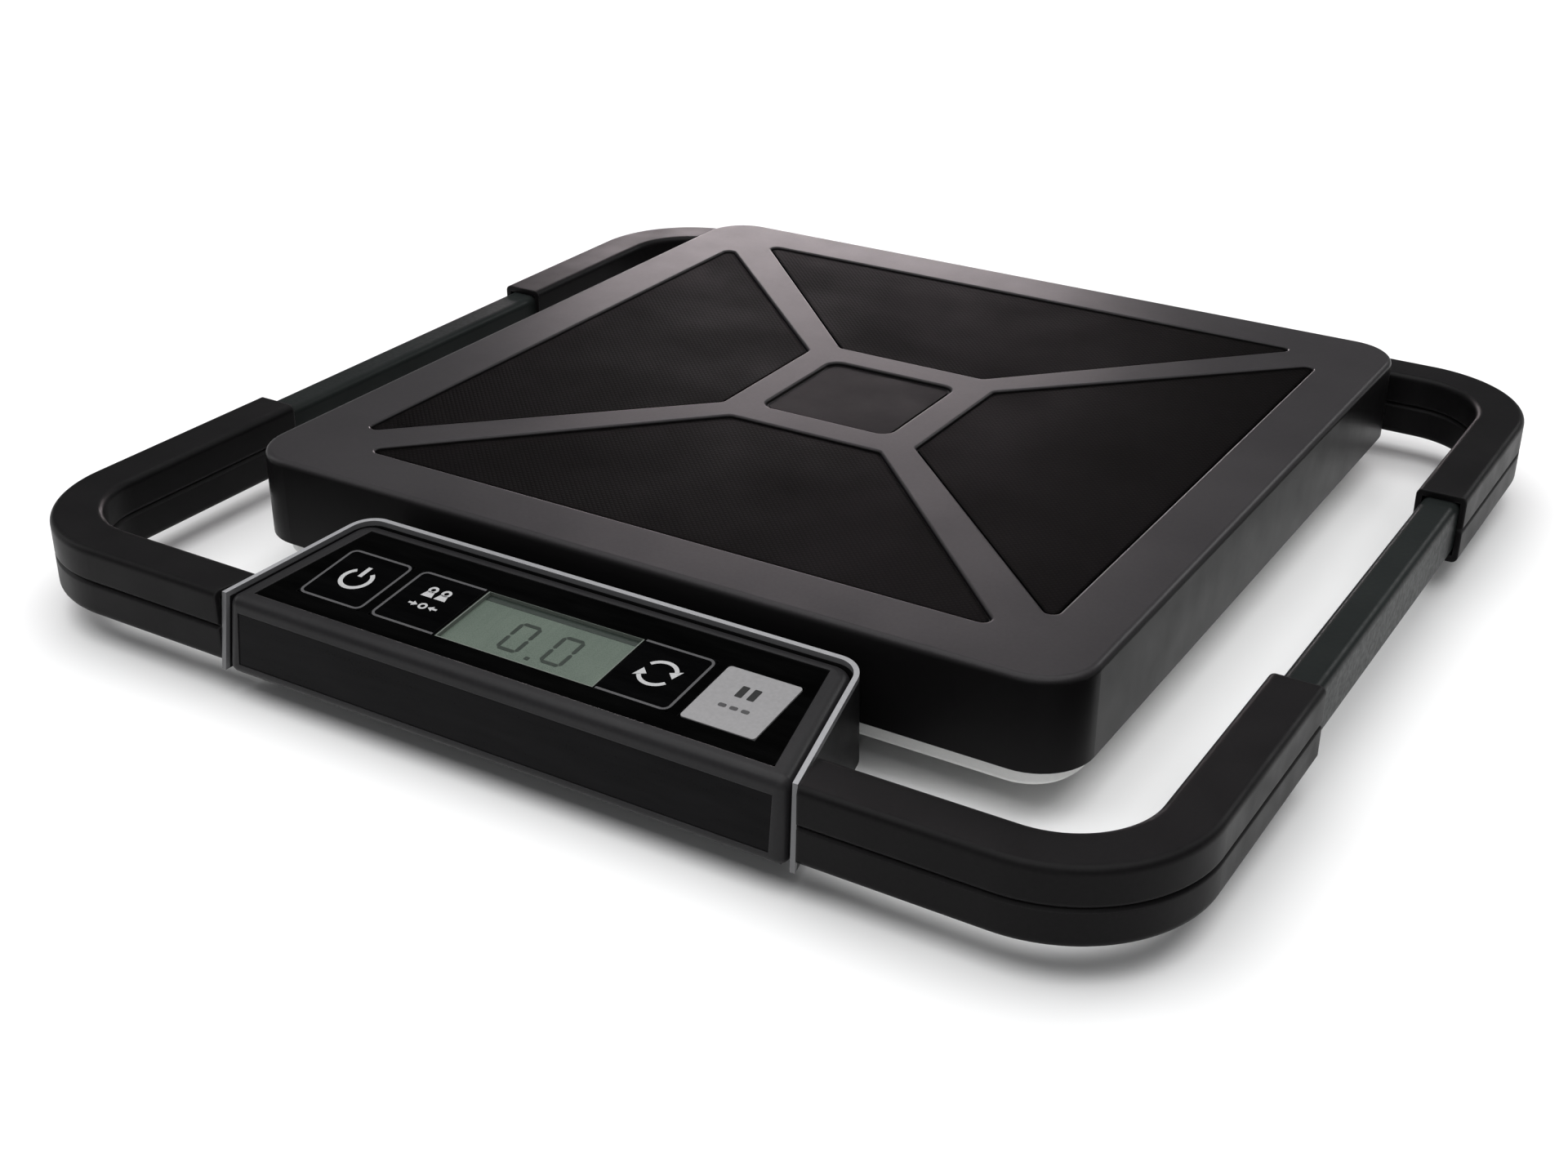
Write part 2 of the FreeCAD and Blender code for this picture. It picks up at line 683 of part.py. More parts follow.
def make_straps():
    """Steel straps under the tray that reach forward to the cradle and back to the rear tube."""
    front = new_body("front_straps")
    rear = new_body("rear_straps")
    front_plan = new_sketch(front, "Dims.strap_bottom")
    rear_plan = new_sketch(rear, "Dims.strap_bottom")
    riser = new_sketch(rear, STRAP_TOP)
    front_holes = new_sketch(front, STRAP_TOP)
    tube_rear = "Dims.loop_rear + Dims.tube_width / 2"
    tube_front = "Dims.loop_rear - Dims.tube_width / 2"
    for s in ("-", ""):
        low = "%sDims.strap_place - Dims.strap_half" % s
        high = "%sDims.strap_place + Dims.strap_half" % s
        rectangle(front_plan, low, high, STRAP_FRONT_REACH, STRAP_TRAY_FRONT)
        rectangle(rear_plan, low, high, STRAP_TRAY_REAR, tube_rear)
        rectangle(riser, low, high, tube_front, tube_rear)
    pad(front, front_plan, "Dims.strap_thickness")
    dress(front, "Fillet", "4", upright)
    pad(rear, rear_plan, "Dims.strap_thickness")
    dress(rear, "Fillet", "4", upright)
    pad(rear, riser, "Dims.loop_middle - Dims.tube_height / 2 - (%s)" % STRAP_TOP)
    for x, y in [point for point in TRAY_SCREWS if STRAP_TRAY_FRONT in point[1]] + CRADLE_SCREWS:
        circle(front_holes, x, y, "Dims.screw_hole")
    pocket(front, front_holes, "Dims.strap_thickness")
    rear_holes = new_sketch(rear, "Dims.loop_middle - Dims.tube_height / 2")
    for x, y in [point for point in TRAY_SCREWS if STRAP_TRAY_REAR in point[1]] + TUBE_SCREWS:
        circle(rear_holes, x, y, "Dims.screw_hole")
    pocket(rear, rear_holes, "Dims.loop_middle - Dims.tube_height / 2 - Dims.strap_bottom")
    screws("tray_screws", TRAY_SCREWS, "Dims.strap_bottom", "Dims.strap_thickness + Dims.tray_floor + 2")
    screws("cradle_screws", CRADLE_SCREWS, "Dims.strap_bottom", "Dims.strap_thickness + 1.4")
    screws("tube_screws", TUBE_SCREWS, "Dims.strap_bottom",
           "Dims.loop_middle - Dims.tube_height / 2 - Dims.strap_bottom + Dims.tube_wall")


# ---- frame loop: bent tube and split corner sleeves ----

CONSOLE_TAPER = "((Dims.unit_front_half - Dims.unit_rear_half) / Dims.unit_depth)"
CRADLE_SIDE = "(Dims.unit_front_half + (Dims.cradle_gap + Dims.cradle_wall) * 1.02)"
END_CLEARANCE = 0.55


def cradle_side_at(y):
    """Half width of the cradle's outside at a depth y, with the small gap that the loop's ends keep."""
    return "%s - (%s - Dims.crease_y) * %s + %s" % (CRADLE_SIDE, y, CONSOLE_TAPER, END_CLEARANCE)


def loop_band(sketch, half_width, end_shift="0"):
    """The loop seen from above as one open band: it stops each side of the cradle."""
    outer_x = "Dims.loop_half + %s" % half_width
    inner_x = "Dims.loop_half - %s" % half_width
    front_out = "Dims.loop_front - %s" % half_width
    front_in = "Dims.loop_front + %s" % half_width
    rear_out = "Dims.loop_rear + %s" % half_width
    rear_in = "Dims.loop_rear - %s" % half_width
    end_out = "%s - %s" % (cradle_side_at(front_out), end_shift)
    end_in = "%s - %s" % (cradle_side_at(front_in), end_shift)
    right = [(end_out, front_out), (outer_x, front_out), (outer_x, rear_out)]
    right_inside = [(end_in, front_in), (inner_x, front_in), (inner_x, rear_in)]
    left = [("-(%s)" % x, y) for x, y in reversed(right)]
    left_inside = [("-(%s)" % x, y) for x, y in right_inside]
    polygon(sketch, right + left + left_inside + list(reversed(right_inside)))


def bend_loop(body, half_width):
    """Round the four bends of a band: the outside by more than the loop's bend radius, the inside by less."""
    corner_x = value_of("loop_half")

    def outside(edge):
        return upright(edge) and abs(edge.CenterOfMass.x) > corner_x

    def inside(edge):
        x = abs(edge.CenterOfMass.x)
        return upright(edge) and corner_x - 20 < x < corner_x

    dress(body, "Fillet", "Dims.loop_bend + %s" % half_width, outside)
    dress(body, "Fillet", "Dims.loop_bend - %s" % half_width, inside)


def make_frame_tube():
    walls = new_body("tube_outside", kept=False)
    bore = new_body("tube_bore", kept=False)
    half = "Dims.tube_width / 2"
    plan = new_sketch(walls, "Dims.loop_middle - Dims.tube_height / 2")
    loop_band(plan, half)
    pad(walls, plan, "Dims.tube_height")
    bend_loop(walls, half)
    high = value_of("loop_middle") + value_of("tube_height") / 2
    low = high - value_of("tube_height")

    def long_edge(edge):
        ends = (edge.Curve.TypeId == "Part::GeomLine" and abs(edge.tangentAt(0).x) < 0.5
                and edge.BoundBox.YMax < value_of("loop_front") + value_of("tube_width"))
        return (level_edge(edge, high) or level_edge(edge, low)) and not ends

    dress(walls, "Fillet", "Dims.tube_round", long_edge)
    half_bore = "(Dims.tube_width / 2 - Dims.tube_wall)"
    bore_plan = new_sketch(bore, "Dims.loop_middle - Dims.tube_height / 2 + Dims.tube_wall")
    loop_band(bore_plan, half_bore, "2")
    pad(bore, bore_plan, "Dims.tube_height - 2 * Dims.tube_wall")
    bend_loop(bore, half_bore)
    holes = new_body("tube_screw_holes", kept=False)
    rounds = new_sketch(holes, "Dims.loop_middle - Dims.tube_height / 2 - 1")
    for x, y in TUBE_SCREWS + SLEEVE_SCREWS:
        circle(rounds, x, y, "Dims.screw_hole")
    pad(holes, rounds, "Dims.tube_wall + 2")
    hollow = doc.addObject("Part::Cut", "tube_hollow")
    hollow.Base = walls
    hollow.Tool = bore
    tube = doc.addObject("Part::Cut", "frame_tube")
    tube.Label = "frame_tube"
    tube.Base = hollow
    tube.Tool = holes
    check(tube)
    subparts.append(tube)


FRONT_CORNER_SCREWS = [("Dims.loop_half", "Dims.front_sleeve_end - Dims.sleeve_screw_inset"),
                       ("Dims.sleeve_screw_place", "Dims.loop_front")]
REAR_CORNER_SCREWS = [("Dims.loop_half", "Dims.rear_sleeve_end + Dims.sleeve_screw_inset"),
                      ("Dims.sleeve_screw_place", "Dims.loop_rear")]
SLEEVE_SCREWS = [(s + x, y) for s in ("", "-") for x, y in FRONT_CORNER_SCREWS + REAR_CORNER_SCREWS]


def corner_outline(sketch, half_width, front, past=0):
    """An L-shaped band round the right-hand front or rear bend, running past its ends by a little."""
    outer_x = "Dims.loop_half + %s" % half_width
    inner_x = "Dims.loop_half - %s" % half_width
    if front:
        out_y = "Dims.loop_front - %s" % half_width
        in_y = "Dims.loop_front + %s" % half_width
        start_out = "%s - %s" % (cradle_side_at(out_y), past)
        start_in = "%s - %s" % (cradle_side_at(in_y), past)
        end_y = "Dims.front_sleeve_end + %s" % past
    else:
        out_y = "Dims.loop_rear + %s" % half_width
        in_y = "Dims.loop_rear - %s" % half_width
        start_out = start_in = "Dims.rear_sleeve_start - %s" % past
        end_y = "Dims.rear_sleeve_end - %s" % past
    polygon(sketch, [
        (start_out, out_y), (outer_x, out_y), (outer_x, end_y),
        (inner_x, end_y), (inner_x, in_y), (start_in, in_y)])


def bend_corner(body, half_width, front, height):
    """Round the outside and the inside of an L-shaped band where it turns."""
    middle = Vector(value_of("loop_half"), value_of("loop_front" if front else "loop_rear"), 0)
    reach = value_of("sleeve_width")

    def turning(edge):
        where = edge.CenterOfMass
        flat = Vector(where.x, where.y, 0)
        return upright(edge, height) and (flat - middle).Length < reach

    dress(body, "Fillet", "Dims.loop_bend + %s" % half_width,
          lambda e: turning(e) and e.CenterOfMass.x > middle.x)
    dress(body, "Fillet", "Dims.loop_bend - %s" % half_width,
          lambda e: turning(e) and e.CenterOfMass.x < middle.x)


def off_centre(edge, front):
    """Distance from the tube's centreline of a level edge that runs along it, or None if it crosses."""
    if edge.Curve.TypeId == "Part::GeomCircle":
        return abs(edge.Curve.Radius - value_of("loop_bend"))
    if edge.Length < value_of("sleeve_width") + 1:
        return None
    where = edge.CenterOfMass
    if abs(edge.tangentAt(edge.FirstParameter).x) > 0.5:
        return abs(where.y - value_of("loop_front" if front else "loop_rear"))
    return abs(where.x - value_of("loop_half"))


def make_sleeve_half(name, front, upper):
    """One half of a corner sleeve: a channel over the tube, open at the parting plane."""
    body = new_body(name)
    height = value_of("sleeve_height") / 2
    parting = value_of("loop_middle")
    crown = parting + height if upper else parting - height
    half = "Dims.sleeve_width / 2"
    plan = new_sketch(body, "Dims.loop_middle" if upper else "Dims.loop_middle - Dims.sleeve_height / 2")
    corner_outline(plan, half, front)
    pad(body, plan, "Dims.sleeve_height / 2")
    channel = "(Dims.tube_width / 2 + Dims.sleeve_clear)"
    cavity = new_sketch(body, "Dims.loop_middle")
    corner_outline(cavity, channel, front, past=2)
    pocket(body, cavity, "Dims.tube_height / 2 + Dims.sleeve_clear", up=upper)
    bend_corner(body, channel, front, value_of("tube_height") / 2 + value_of("sleeve_clear"))
    bend_corner(body, half, front, height)

    def outermost(edge, level):
        if not level_edge(edge, level):
            return False
        distance = off_centre(edge, front)
        return distance is not None and abs(distance - value_of("sleeve_width") / 2) < TOLERANCE

    dress(body, "Fillet", "Dims.sleeve_round", lambda e: outermost(e, crown))
    dress(body, "Chamfer", "Dims.sleeve_groove", lambda e: outermost(e, parting))
    if not upper:
        bores = new_sketch(body, "Dims.loop_middle - Dims.sleeve_height / 2")
        heads = new_sketch(body, "Dims.loop_middle - Dims.sleeve_height / 2")
        for x, y in FRONT_CORNER_SCREWS if front else REAR_CORNER_SCREWS:
            circle(bores, x, y, "Dims.screw_hole")
            circle(heads, x, y, "Dims.screw_head")
        pocket(body, bores, "Dims.sleeve_height / 2", up=True)
        pocket(body, heads, "Dims.screw_sink", up=True)
    return body


def make_sleeves():
    for end, front in (("front", True), ("rear", False)):
        for layer, upper in (("upper", True), ("lower", False)):
            right = make_sleeve_half("sleeve_%s_right_%s" % (end, layer), front, upper)
            name = "sleeve_%s_left_%s" % (end, layer)
            left = doc.addObject("Part::Mirroring", name)
            left.Label = name
            left.Source = right
            left.Normal = Vector(1, 0, 0)
            check(left)
            subparts.append(left)
    seat = "Dims.loop_middle - Dims.sleeve_height / 2 + Dims.screw_sink"
    screws("sleeve_screws", SLEEVE_SCREWS, seat, "2.5", head_height=1.2)


# ---- console: cradle and the display unit that docks in it ----

def trapezoid(sketch, front, rear, front_half, rear_half):
    polygon(sketch, [
        ("-(%s)" % front_half, front), (front_half, front),
        (rear_half, rear), ("-(%s)" % rear_half, rear)])


def unit_half_at(depth, inset):
    """Half width of the display unit at a depth up its slope, less an inset square to its side."""
    return "Dims.unit_front_half - (%s) * %s - (%s) * 1.02" % (depth, CONSOLE_TAPER, inset)


def unit_outline(sketch, front, rear, inset):
    trapezoid(sketch, front, rear, unit_half_at(front, inset), unit_half_at(rear, inset))


def rear(edge):
    """Whether an edge of a console part, seen in its own frame, lies in its rear half."""
    return edge.CenterOfMass.y > value_of("unit_depth") / 2


FACE_ANGLE = "((Dims.console_tilt + Dims.face_lean) * 1 deg)"
REAR_ANGLE = "(Dims.console_tilt * 1 deg)"
CRADLE_OUTSIDE = "-(Dims.cradle_gap + Dims.cradle_wall)"
CRADLE_INSIDE = "-Dims.cradle_gap"
CRADLE_UNDERSIDE = "-Dims.unit_height - 0.3 - Dims.cradle_floor"


def face_point(level, behind):
    """The depth, at a level, of a plane parallel to the leaning front face and behind it."""
    return "(%s) * tan(%s) + (%s) / cos(%s)" % (level, FACE_ANGLE, behind, FACE_ANGLE)


def rear_point(level, inset):
    """The depth, at a level, of the upright rear face."""
    return "Dims.unit_depth + (%s) * tan(%s) - (%s) / cos(%s)" % (level, REAR_ANGLE, inset, REAR_ANGLE)


def across(body, outline, half="110"):
    """Cut a side view, given as depth and level pairs, right across the body."""
    side = new_sketch(body, "-%s" % half, "YZ_Plane")
    polygon(side, outline)
    pocket(body, side, "2 * %s" % half, up=True)


def console_block(body, low, high, inset, behind):
    """A solid with the console's tapered sides, leaning front, upright rear and rounded rear corners."""
    plan = new_sketch(body, low)
    unit_outline(plan, "-12", "Dims.unit_depth + 6", inset)
    pad(body, plan, "%s - (%s)" % (high, low))
    above = "%s + 1" % high
    below = "%s - 1" % low
    across(body, [(face_point(above, behind), above), ("-20", above), ("-20", below),
                  (face_point(below, behind), below)])
    across(body, [(rear_point(above, inset), above), ("80", above), ("80", below),
                  (rear_point(below, inset), below)])
    dress(body, "Fillet", "Dims.unit_rear_corner - (%s)" % inset, lambda e: steep(e) and rear(e))


def steep(edge):
    """Whether an edge is straight and climbs."""
    return edge.Curve.TypeId == "Part::GeomLine" and edge.BoundBox.ZLength > 1


def cut_away(name, base, tools):
    """The named sub-part: a base solid less its tools."""
    tool = tools[0]
    if len(tools) > 1:
        tool = doc.addObject("Part::MultiFuse", name + "_tools")
        tool.Shapes = tools
    result = doc.addObject("Part::Cut", name)
    result.Label = name
    result.Base = base
    result.Tool = tool
    check(result)
    subparts.append(result)


def make_cradle():
    """A dock open at the top and front: tapered side walls, rear wall, floor and two tube spigots."""
    shell = new_body("cradle_shell", CONSOLE, kept=False)
    console_block(shell, CRADLE_UNDERSIDE, "-Dims.cradle_lip", CRADLE_OUTSIDE, "Dims.cradle_front")
    toe = new_sketch(shell, CRADLE_UNDERSIDE)
    rectangle(toe, "-110", "110", "-20", "Dims.cradle_floor_front")
    pocket(shell, toe, "Dims.cradle_floor + 0.3", up=True)
    door_slot = new_sketch(shell, CRADLE_UNDERSIDE)
    rectangle(door_slot, "-Dims.door_slot_half", "Dims.door_slot_half", "0", "Dims.door_slot_rear")
    pocket(shell, door_slot, "Dims.cradle_floor + 0.3", up=True)
    ports = new_sketch(shell, "-80", "YZ_Plane")
    rectangle(ports, "Dims.port_slot_front", "Dims.port_slot_rear",
              "-Dims.port_slot_low", "-Dims.port_slot_high")
    pocket(shell, ports, "40")
    dock = new_sketch(shell, "-Dims.unit_depth - 6", "XZ_Plane")
    rectangle(dock, "Dims.dock_place - 7.6", "Dims.dock_place + 7.6", "-15.6", "-10.5")
    pocket(shell, dock, "12", up=True)
    room = new_body("cradle_room", CONSOLE, kept=False)
    console_block(room, "-Dims.unit_height - 0.3", "5", CRADLE_INSIDE, "-8")
    bosses = new_body("cradle_bosses", kept=False)
    side = new_sketch(bosses, "Dims.strap_place - Dims.strap_half + 1", "YZ_Plane")
    boss_profile(side)
    pad(bosses, side, "2 * Dims.strap_half - 2")
    mirror = doc.addObject("Part::Mirroring", "cradle_bosses_left")
    mirror.Source = bosses
    mirror.Normal = Vector(1, 0, 0)
    spigots = new_body("cradle_spigots", kept=False)
    half = "(Dims.tube_width / 2 - Dims.tube_wall - 0.1)"
    spigot_plan = new_sketch(spigots, "Dims.loop_middle - Dims.tube_height / 2 + Dims.tube_wall + 0.1")
    low_y = "Dims.loop_front - %s" % half
    high_y = "Dims.loop_front + %s" % half
    for s in ("-", ""):
        polygon(spigot_plan, [
            ("%s(%s - 2)" % (s, cradle_side_at(low_y)), low_y),
            ("%s(%s + Dims.spigot_length)" % (s, cradle_side_at(low_y)), low_y),
            ("%s(%s + Dims.spigot_length)" % (s, cradle_side_at(low_y)), high_y),
            ("%s(%s - 2)" % (s, cradle_side_at(high_y)), high_y)])
    pad(spigots, spigot_plan, "Dims.tube_height - 2 * Dims.tube_wall - 0.2")
    clearance = new_body("cradle_clearance", kept=False)
    under = new_sketch(clearance, "0")
    rectangle(under, "-110", "110", "Dims.crease_y - 10", "Dims.crease_y + 70")
    pad(clearance, under, STRAP_TOP)
    rounds = new_sketch(clearance, STRAP_TOP)
    for x, y in CRADLE_SCREWS:
        circle(rounds, x, y, "Dims.screw_hole - 0.05")
    pad(clearance, rounds, "1.6")
    lead_hole = new_body("cradle_lead_hole", kept=False)
    section = new_sketch(lead_hole, "-(%s) - 6" % TRUNK_FRONT, "XZ_Plane")
    circle(section, "0", "Dims.trunk_height", "Dims.trunk_radius + 0.1")
    pad(lead_hole, section, "6")
    joined = doc.addObject("Part::MultiFuse", "cradle_joined")
    joined.Shapes = [shell, bosses, mirror, spigots]
    cut_away("cradle", joined, [room, clearance, lead_hole])


def boss_profile(sketch):
    """Side view of the wedges that fill the space between the straps and the tilted cradle floor."""
    low = "%s + 0.5" % STRAP_FRONT_REACH
    high = "%s + 32" % STRAP_FRONT_REACH
    sine = "sin(Dims.console_tilt * 1 deg)"
    cosine = "cos(Dims.console_tilt * 1 deg)"
    middle = "(Dims.unit_height + 0.3 + Dims.cradle_floor / 2)"

    def floor_at(y):
        return "Dims.crease_z + (%s - Dims.crease_y) * %s / %s - %s / %s" % (y, sine, cosine, middle, cosine)

    polygon(sketch, [(low, STRAP_TOP), (high, STRAP_TOP), (high, floor_at(high)), (low, floor_at(low))])


def make_cradle_trim():
    """A bright bead along the cradle's upper rim and down the front edges of its side walls."""
    bead = new_body("trim_bead", CONSOLE, kept=False)
    console_block(bead, "-Dims.unit_height", "0.2", CRADLE_OUTSIDE, "Dims.cradle_front - Dims.trim_width")
    across(bead, [
        (face_point("-Dims.cradle_lip", "Dims.cradle_front"), "-Dims.cradle_lip"), ("80", "-Dims.cradle_lip"),
        ("80", "-40"), (face_point("-40", "Dims.cradle_front"), "-40")])
    room = new_body("trim_room", CONSOLE, kept=False)
    console_block(room, "-Dims.unit_height - 1", "2", CRADLE_INSIDE, "-8")
    cut_away("cradle_trim", bead, [room])


KEY_CENTRES = {
    "key_power": "-(Dims.outer_key + Dims.key_width / 2)",
    "key_tare": "-(Dims.inner_key + Dims.key_width / 2)",
    "key_units": "Dims.inner_key + Dims.key_width / 2",
    "key_hold": "Dims.outer_key + Dims.key_width / 2",
}
KEY_DEPTH = "(Dims.key_front + Dims.key_rear) / 2"
BOARD_TOP = "-Dims.main_board_depth"
BOARD_BOTTOM = "-Dims.main_board_depth - Dims.board_thickness"
BOARD_POSTS = [("%sDims.post_%s_place" % (s, end), "Dims.post_%s_depth" % end)
               for end in ("front", "rear") for s in ("-", "")]


def port_outline(port, gap):
    """Depths and levels of a port hung under the board, with a gap all round."""
    place = "Dims.%s_place" % port
    half = "Dims.%s_width / 2 + %s" % (port, gap)
    low = "%s - Dims.%s_height - %s" % (BOARD_BOTTOM, port, gap)
    return "%s - (%s)" % (place, half), "%s + %s" % (place, half), low, "%s + %s" % (BOARD_BOTTOM, gap)


def make_display_housing():
    block = new_body("housing_block", CONSOLE, kept=False)
    console_block(block, "-Dims.unit_height", "0", "0", "0")
    dress(block, "Fillet", "Dims.unit_front_corner", lambda e: steep(e) and e.CenterOfMass.y < 2)

    def front_edge(edge, level):
        return level_edge(edge, level) and edge.CenterOfMass.y < 4

    dress(block, "Fillet", "Dims.unit_crease_round", lambda e: front_edge(e, 0))
    dress(block, "Fillet", "Dims.unit_bottom_round", lambda e: front_edge(e, -value_of("unit_height")))
    recess = new_sketch(block, "0")
    window_outline(recess, "0")
    pocket(block, recess, "Dims.window_recess")
    opening = new_sketch(block, "0")
    window_outline(opening, "Dims.window_ledge")
    pocket(block, opening, "Dims.unit_wall + 0.2")
    across(block, fascia_side("0", "-1", "Dims.fascia_recess"), "Dims.fascia_half")
    ports = new_sketch(block, "-80", "YZ_Plane")
    for port in ("usb", "inlet"):
        front, back, low, high = port_outline(port, "Dims.port_gap")
        rectangle(ports, front, back, low, high)
    pocket(block, ports, "30")
    dock = new_sketch(block, "-Dims.unit_depth - 1", "XZ_Plane")
    rectangle(dock, "Dims.dock_place - 8.5", "Dims.dock_place + 8.5", "-16.5", "-9.8")
    pocket(block, dock, "6", up=True)
    hollow = new_body("housing_hollow", CONSOLE, kept=False)
    console_block(hollow, "-Dims.unit_height - 1", "-Dims.unit_wall", "Dims.unit_wall", "Dims.unit_wall")
    cut_away("display_housing", block, [hollow])


def fascia_side(gap, shallow, deep):
    """Side view of the front panel: between two distances down the face and two depths behind it."""
    sine = "sin(%s)" % FACE_ANGLE
    cosine = "cos(%s)" % FACE_ANGLE
    corners = []
    for down, behind in (("Dims.fascia_top + %s" % gap, shallow), ("Dims.fascia_top + %s" % gap, deep),
                         ("Dims.fascia_bottom - %s" % gap, deep), ("Dims.fascia_bottom - %s" % gap, shallow)):
        corners.append(("-(%s) * %s + (%s) * %s" % (down, sine, behind, cosine),
                        "-(%s) * %s - (%s) * %s" % (down, cosine, behind, sine)))
    return corners


def window_outline(sketch, inset):
    """The sloping face's glossy window, inset from its recess on every side."""
    front = "Dims.window_front + %s" % inset
    rear = "Dims.window_rear - %s" % inset
    slope = "((Dims.window_front_half - Dims.window_rear_half) / (Dims.window_rear - Dims.window_front))"
    front_half = "Dims.window_front_half - (%s) * (1.02 + %s)" % (inset, slope)
    rear_half = "Dims.window_rear_half - (%s) * (1.02 - %s)" % (inset, slope)
    trapezoid(sketch, front, rear, front_half, rear_half)


def make_display_window():
    body = new_body("display_window", CONSOLE)
    plan = new_sketch(body, "-Dims.window_recess")
    window_outline(plan, "Dims.window_gap")
    pad(body, plan, "Dims.window_thickness")
    dress(body, "Fillet", "1.5", upright)
    openings = new_sketch(body, "-Dims.window_recess + Dims.window_thickness")
    half = "Dims.key_width / 2 + Dims.key_gap"
    for centre in KEY_CENTRES.values():
        rectangle(openings, "%s - (%s)" % (centre, half), "%s + %s" % (centre, half),
                  "Dims.key_front - Dims.key_gap", "Dims.key_rear + Dims.key_gap")
    rectangle(openings, "-Dims.lcd_half", "Dims.lcd_half", "Dims.key_front", "Dims.key_rear")
    pocket(body, openings, "Dims.window_thickness")


def make_front_fascia():
    body = new_body("front_fascia", CONSOLE)
    half = "(Dims.fascia_half - Dims.window_gap)"
    side = new_sketch(body, "-%s" % half, "YZ_Plane")
    face = "Dims.fascia_recess - Dims.fascia_thickness"
    polygon(side, fascia_side("Dims.window_gap", face, "Dims.fascia_recess"))
    pad(body, side, "2 * %s" % half)


def box_node(name, x, y, z, station=CONSOLE, corner=None):
    """A plain block between pairs of expressions, for potted and bought-in components."""
    body = new_body(name, station)
    plan = new_sketch(body, z[0])
    rectangle(plan, x[0], x[1], y[0], y[1])
    pad(body, plan, "%s - (%s)" % (z[1], z[0]))
    if corner:
        dress(body, "Fillet", corner, upright)
    return body


def make_electronics():
    lcd_half = "(Dims.lcd_half + Dims.lcd_border)"
    across_lcd = ("-" + lcd_half, lcd_half)
    depth = ("Dims.key_front - Dims.lcd_margin", "Dims.key_rear + Dims.lcd_margin")
    lcd_back = "-Dims.lcd_depth - Dims.lcd_thickness"
    box_node("lcd_module", across_lcd, depth, (lcd_back, "-Dims.lcd_depth"))
    box_node("lcd_backlight", across_lcd, depth, (BOARD_TOP, lcd_back))
    board = new_body("main_board", CONSOLE)
    plan = new_sketch(board, BOARD_BOTTOM)
    unit_outline(plan, "Dims.unit_wall + 2", "Dims.unit_depth - Dims.unit_wall - 3", "Dims.unit_wall + 1")
    pad(board, plan, "Dims.board_thickness")
    switches = new_body("key_switches", CONSOLE)
    cases = new_sketch(switches, BOARD_TOP)
    plungers = new_sketch(switches, BOARD_TOP)
    for centre in KEY_CENTRES.values():
        rectangle(cases, "%s - Dims.switch_half" % centre, "%s + Dims.switch_half" % centre,
                  "%s - Dims.switch_half" % KEY_DEPTH, "%s + Dims.switch_half" % KEY_DEPTH)
        circle(plungers, centre, KEY_DEPTH, "Dims.plunger_radius")
    pad(switches, cases, "Dims.switch_height")
    pad(switches, plungers, "Dims.plunger_height")
    make_ports()


def make_ports():
    """The ports in the left side and the two halves of the connector between the unit and its dock."""
    usb_mouth = "-92.9"
    front, back, low, high = port_outline("usb", "0")
    usb = box_node("usb_port", (usb_mouth, "-84"), (front, back), (low, high))
    mouth = new_sketch(usb, usb_mouth, "YZ_Plane")
    rectangle(mouth, "%s + Dims.usb_wall" % front, "%s - Dims.usb_wall" % back,
              "%s + Dims.usb_wall" % low, "%s - Dims.usb_wall" % high)
    pocket(usb, mouth, "6", up=True)
    inlet_mouth = "-90.6"
    front, back, low, high = port_outline("inlet", "0")
    jack = box_node("power_inlet", (inlet_mouth, "-80"), (front, back), (low, high))
    barrel = new_sketch(jack, inlet_mouth, "YZ_Plane")
    for radius in ("Dims.inlet_bore", "Dims.inlet_pin"):
        circle(barrel, "Dims.inlet_place", "%s - Dims.inlet_height / 2" % BOARD_BOTTOM, radius)
    pocket(jack, barrel, "Dims.inlet_depth", up=True)
    socket_x = ("Dims.dock_place - Dims.dock_half", "Dims.dock_place + Dims.dock_half")
    socket_low = "%s - Dims.dock_height" % BOARD_BOTTOM
    box_node("dock_socket", socket_x, ("43.5", "49.5"), (socket_low, BOARD_BOTTOM))
    plug_x = ("Dims.dock_place - Dims.dock_half + 0.5", "Dims.dock_place + Dims.dock_half - 0.5")
    box_node("dock_plug", plug_x, ("50.3", "54.4"), ("%s + 0.5" % socket_low, "%s - 1" % BOARD_BOTTOM))


def make_keys():
    """Each keycap lies in its own opening of the window, over a plunger that it presses down."""
    for name, centre in KEY_CENTRES.items():
        body = new_body(name, CONSOLE)
        plan = new_sketch(body, "-0.1 - Dims.key_height")
        half = "Dims.key_width / 2"
        rectangle(plan, "%s - %s" % (centre, half), "%s + %s" % (centre, half),
                  "Dims.key_front", "Dims.key_rear")
        pad(body, plan, "Dims.key_height")
        dress(body, "Fillet", "1.2", upright)
        stem = new_sketch(body, "-3.9")
        circle(stem, centre, KEY_DEPTH, "Dims.key_stem")
        pad(body, stem, "1.2")


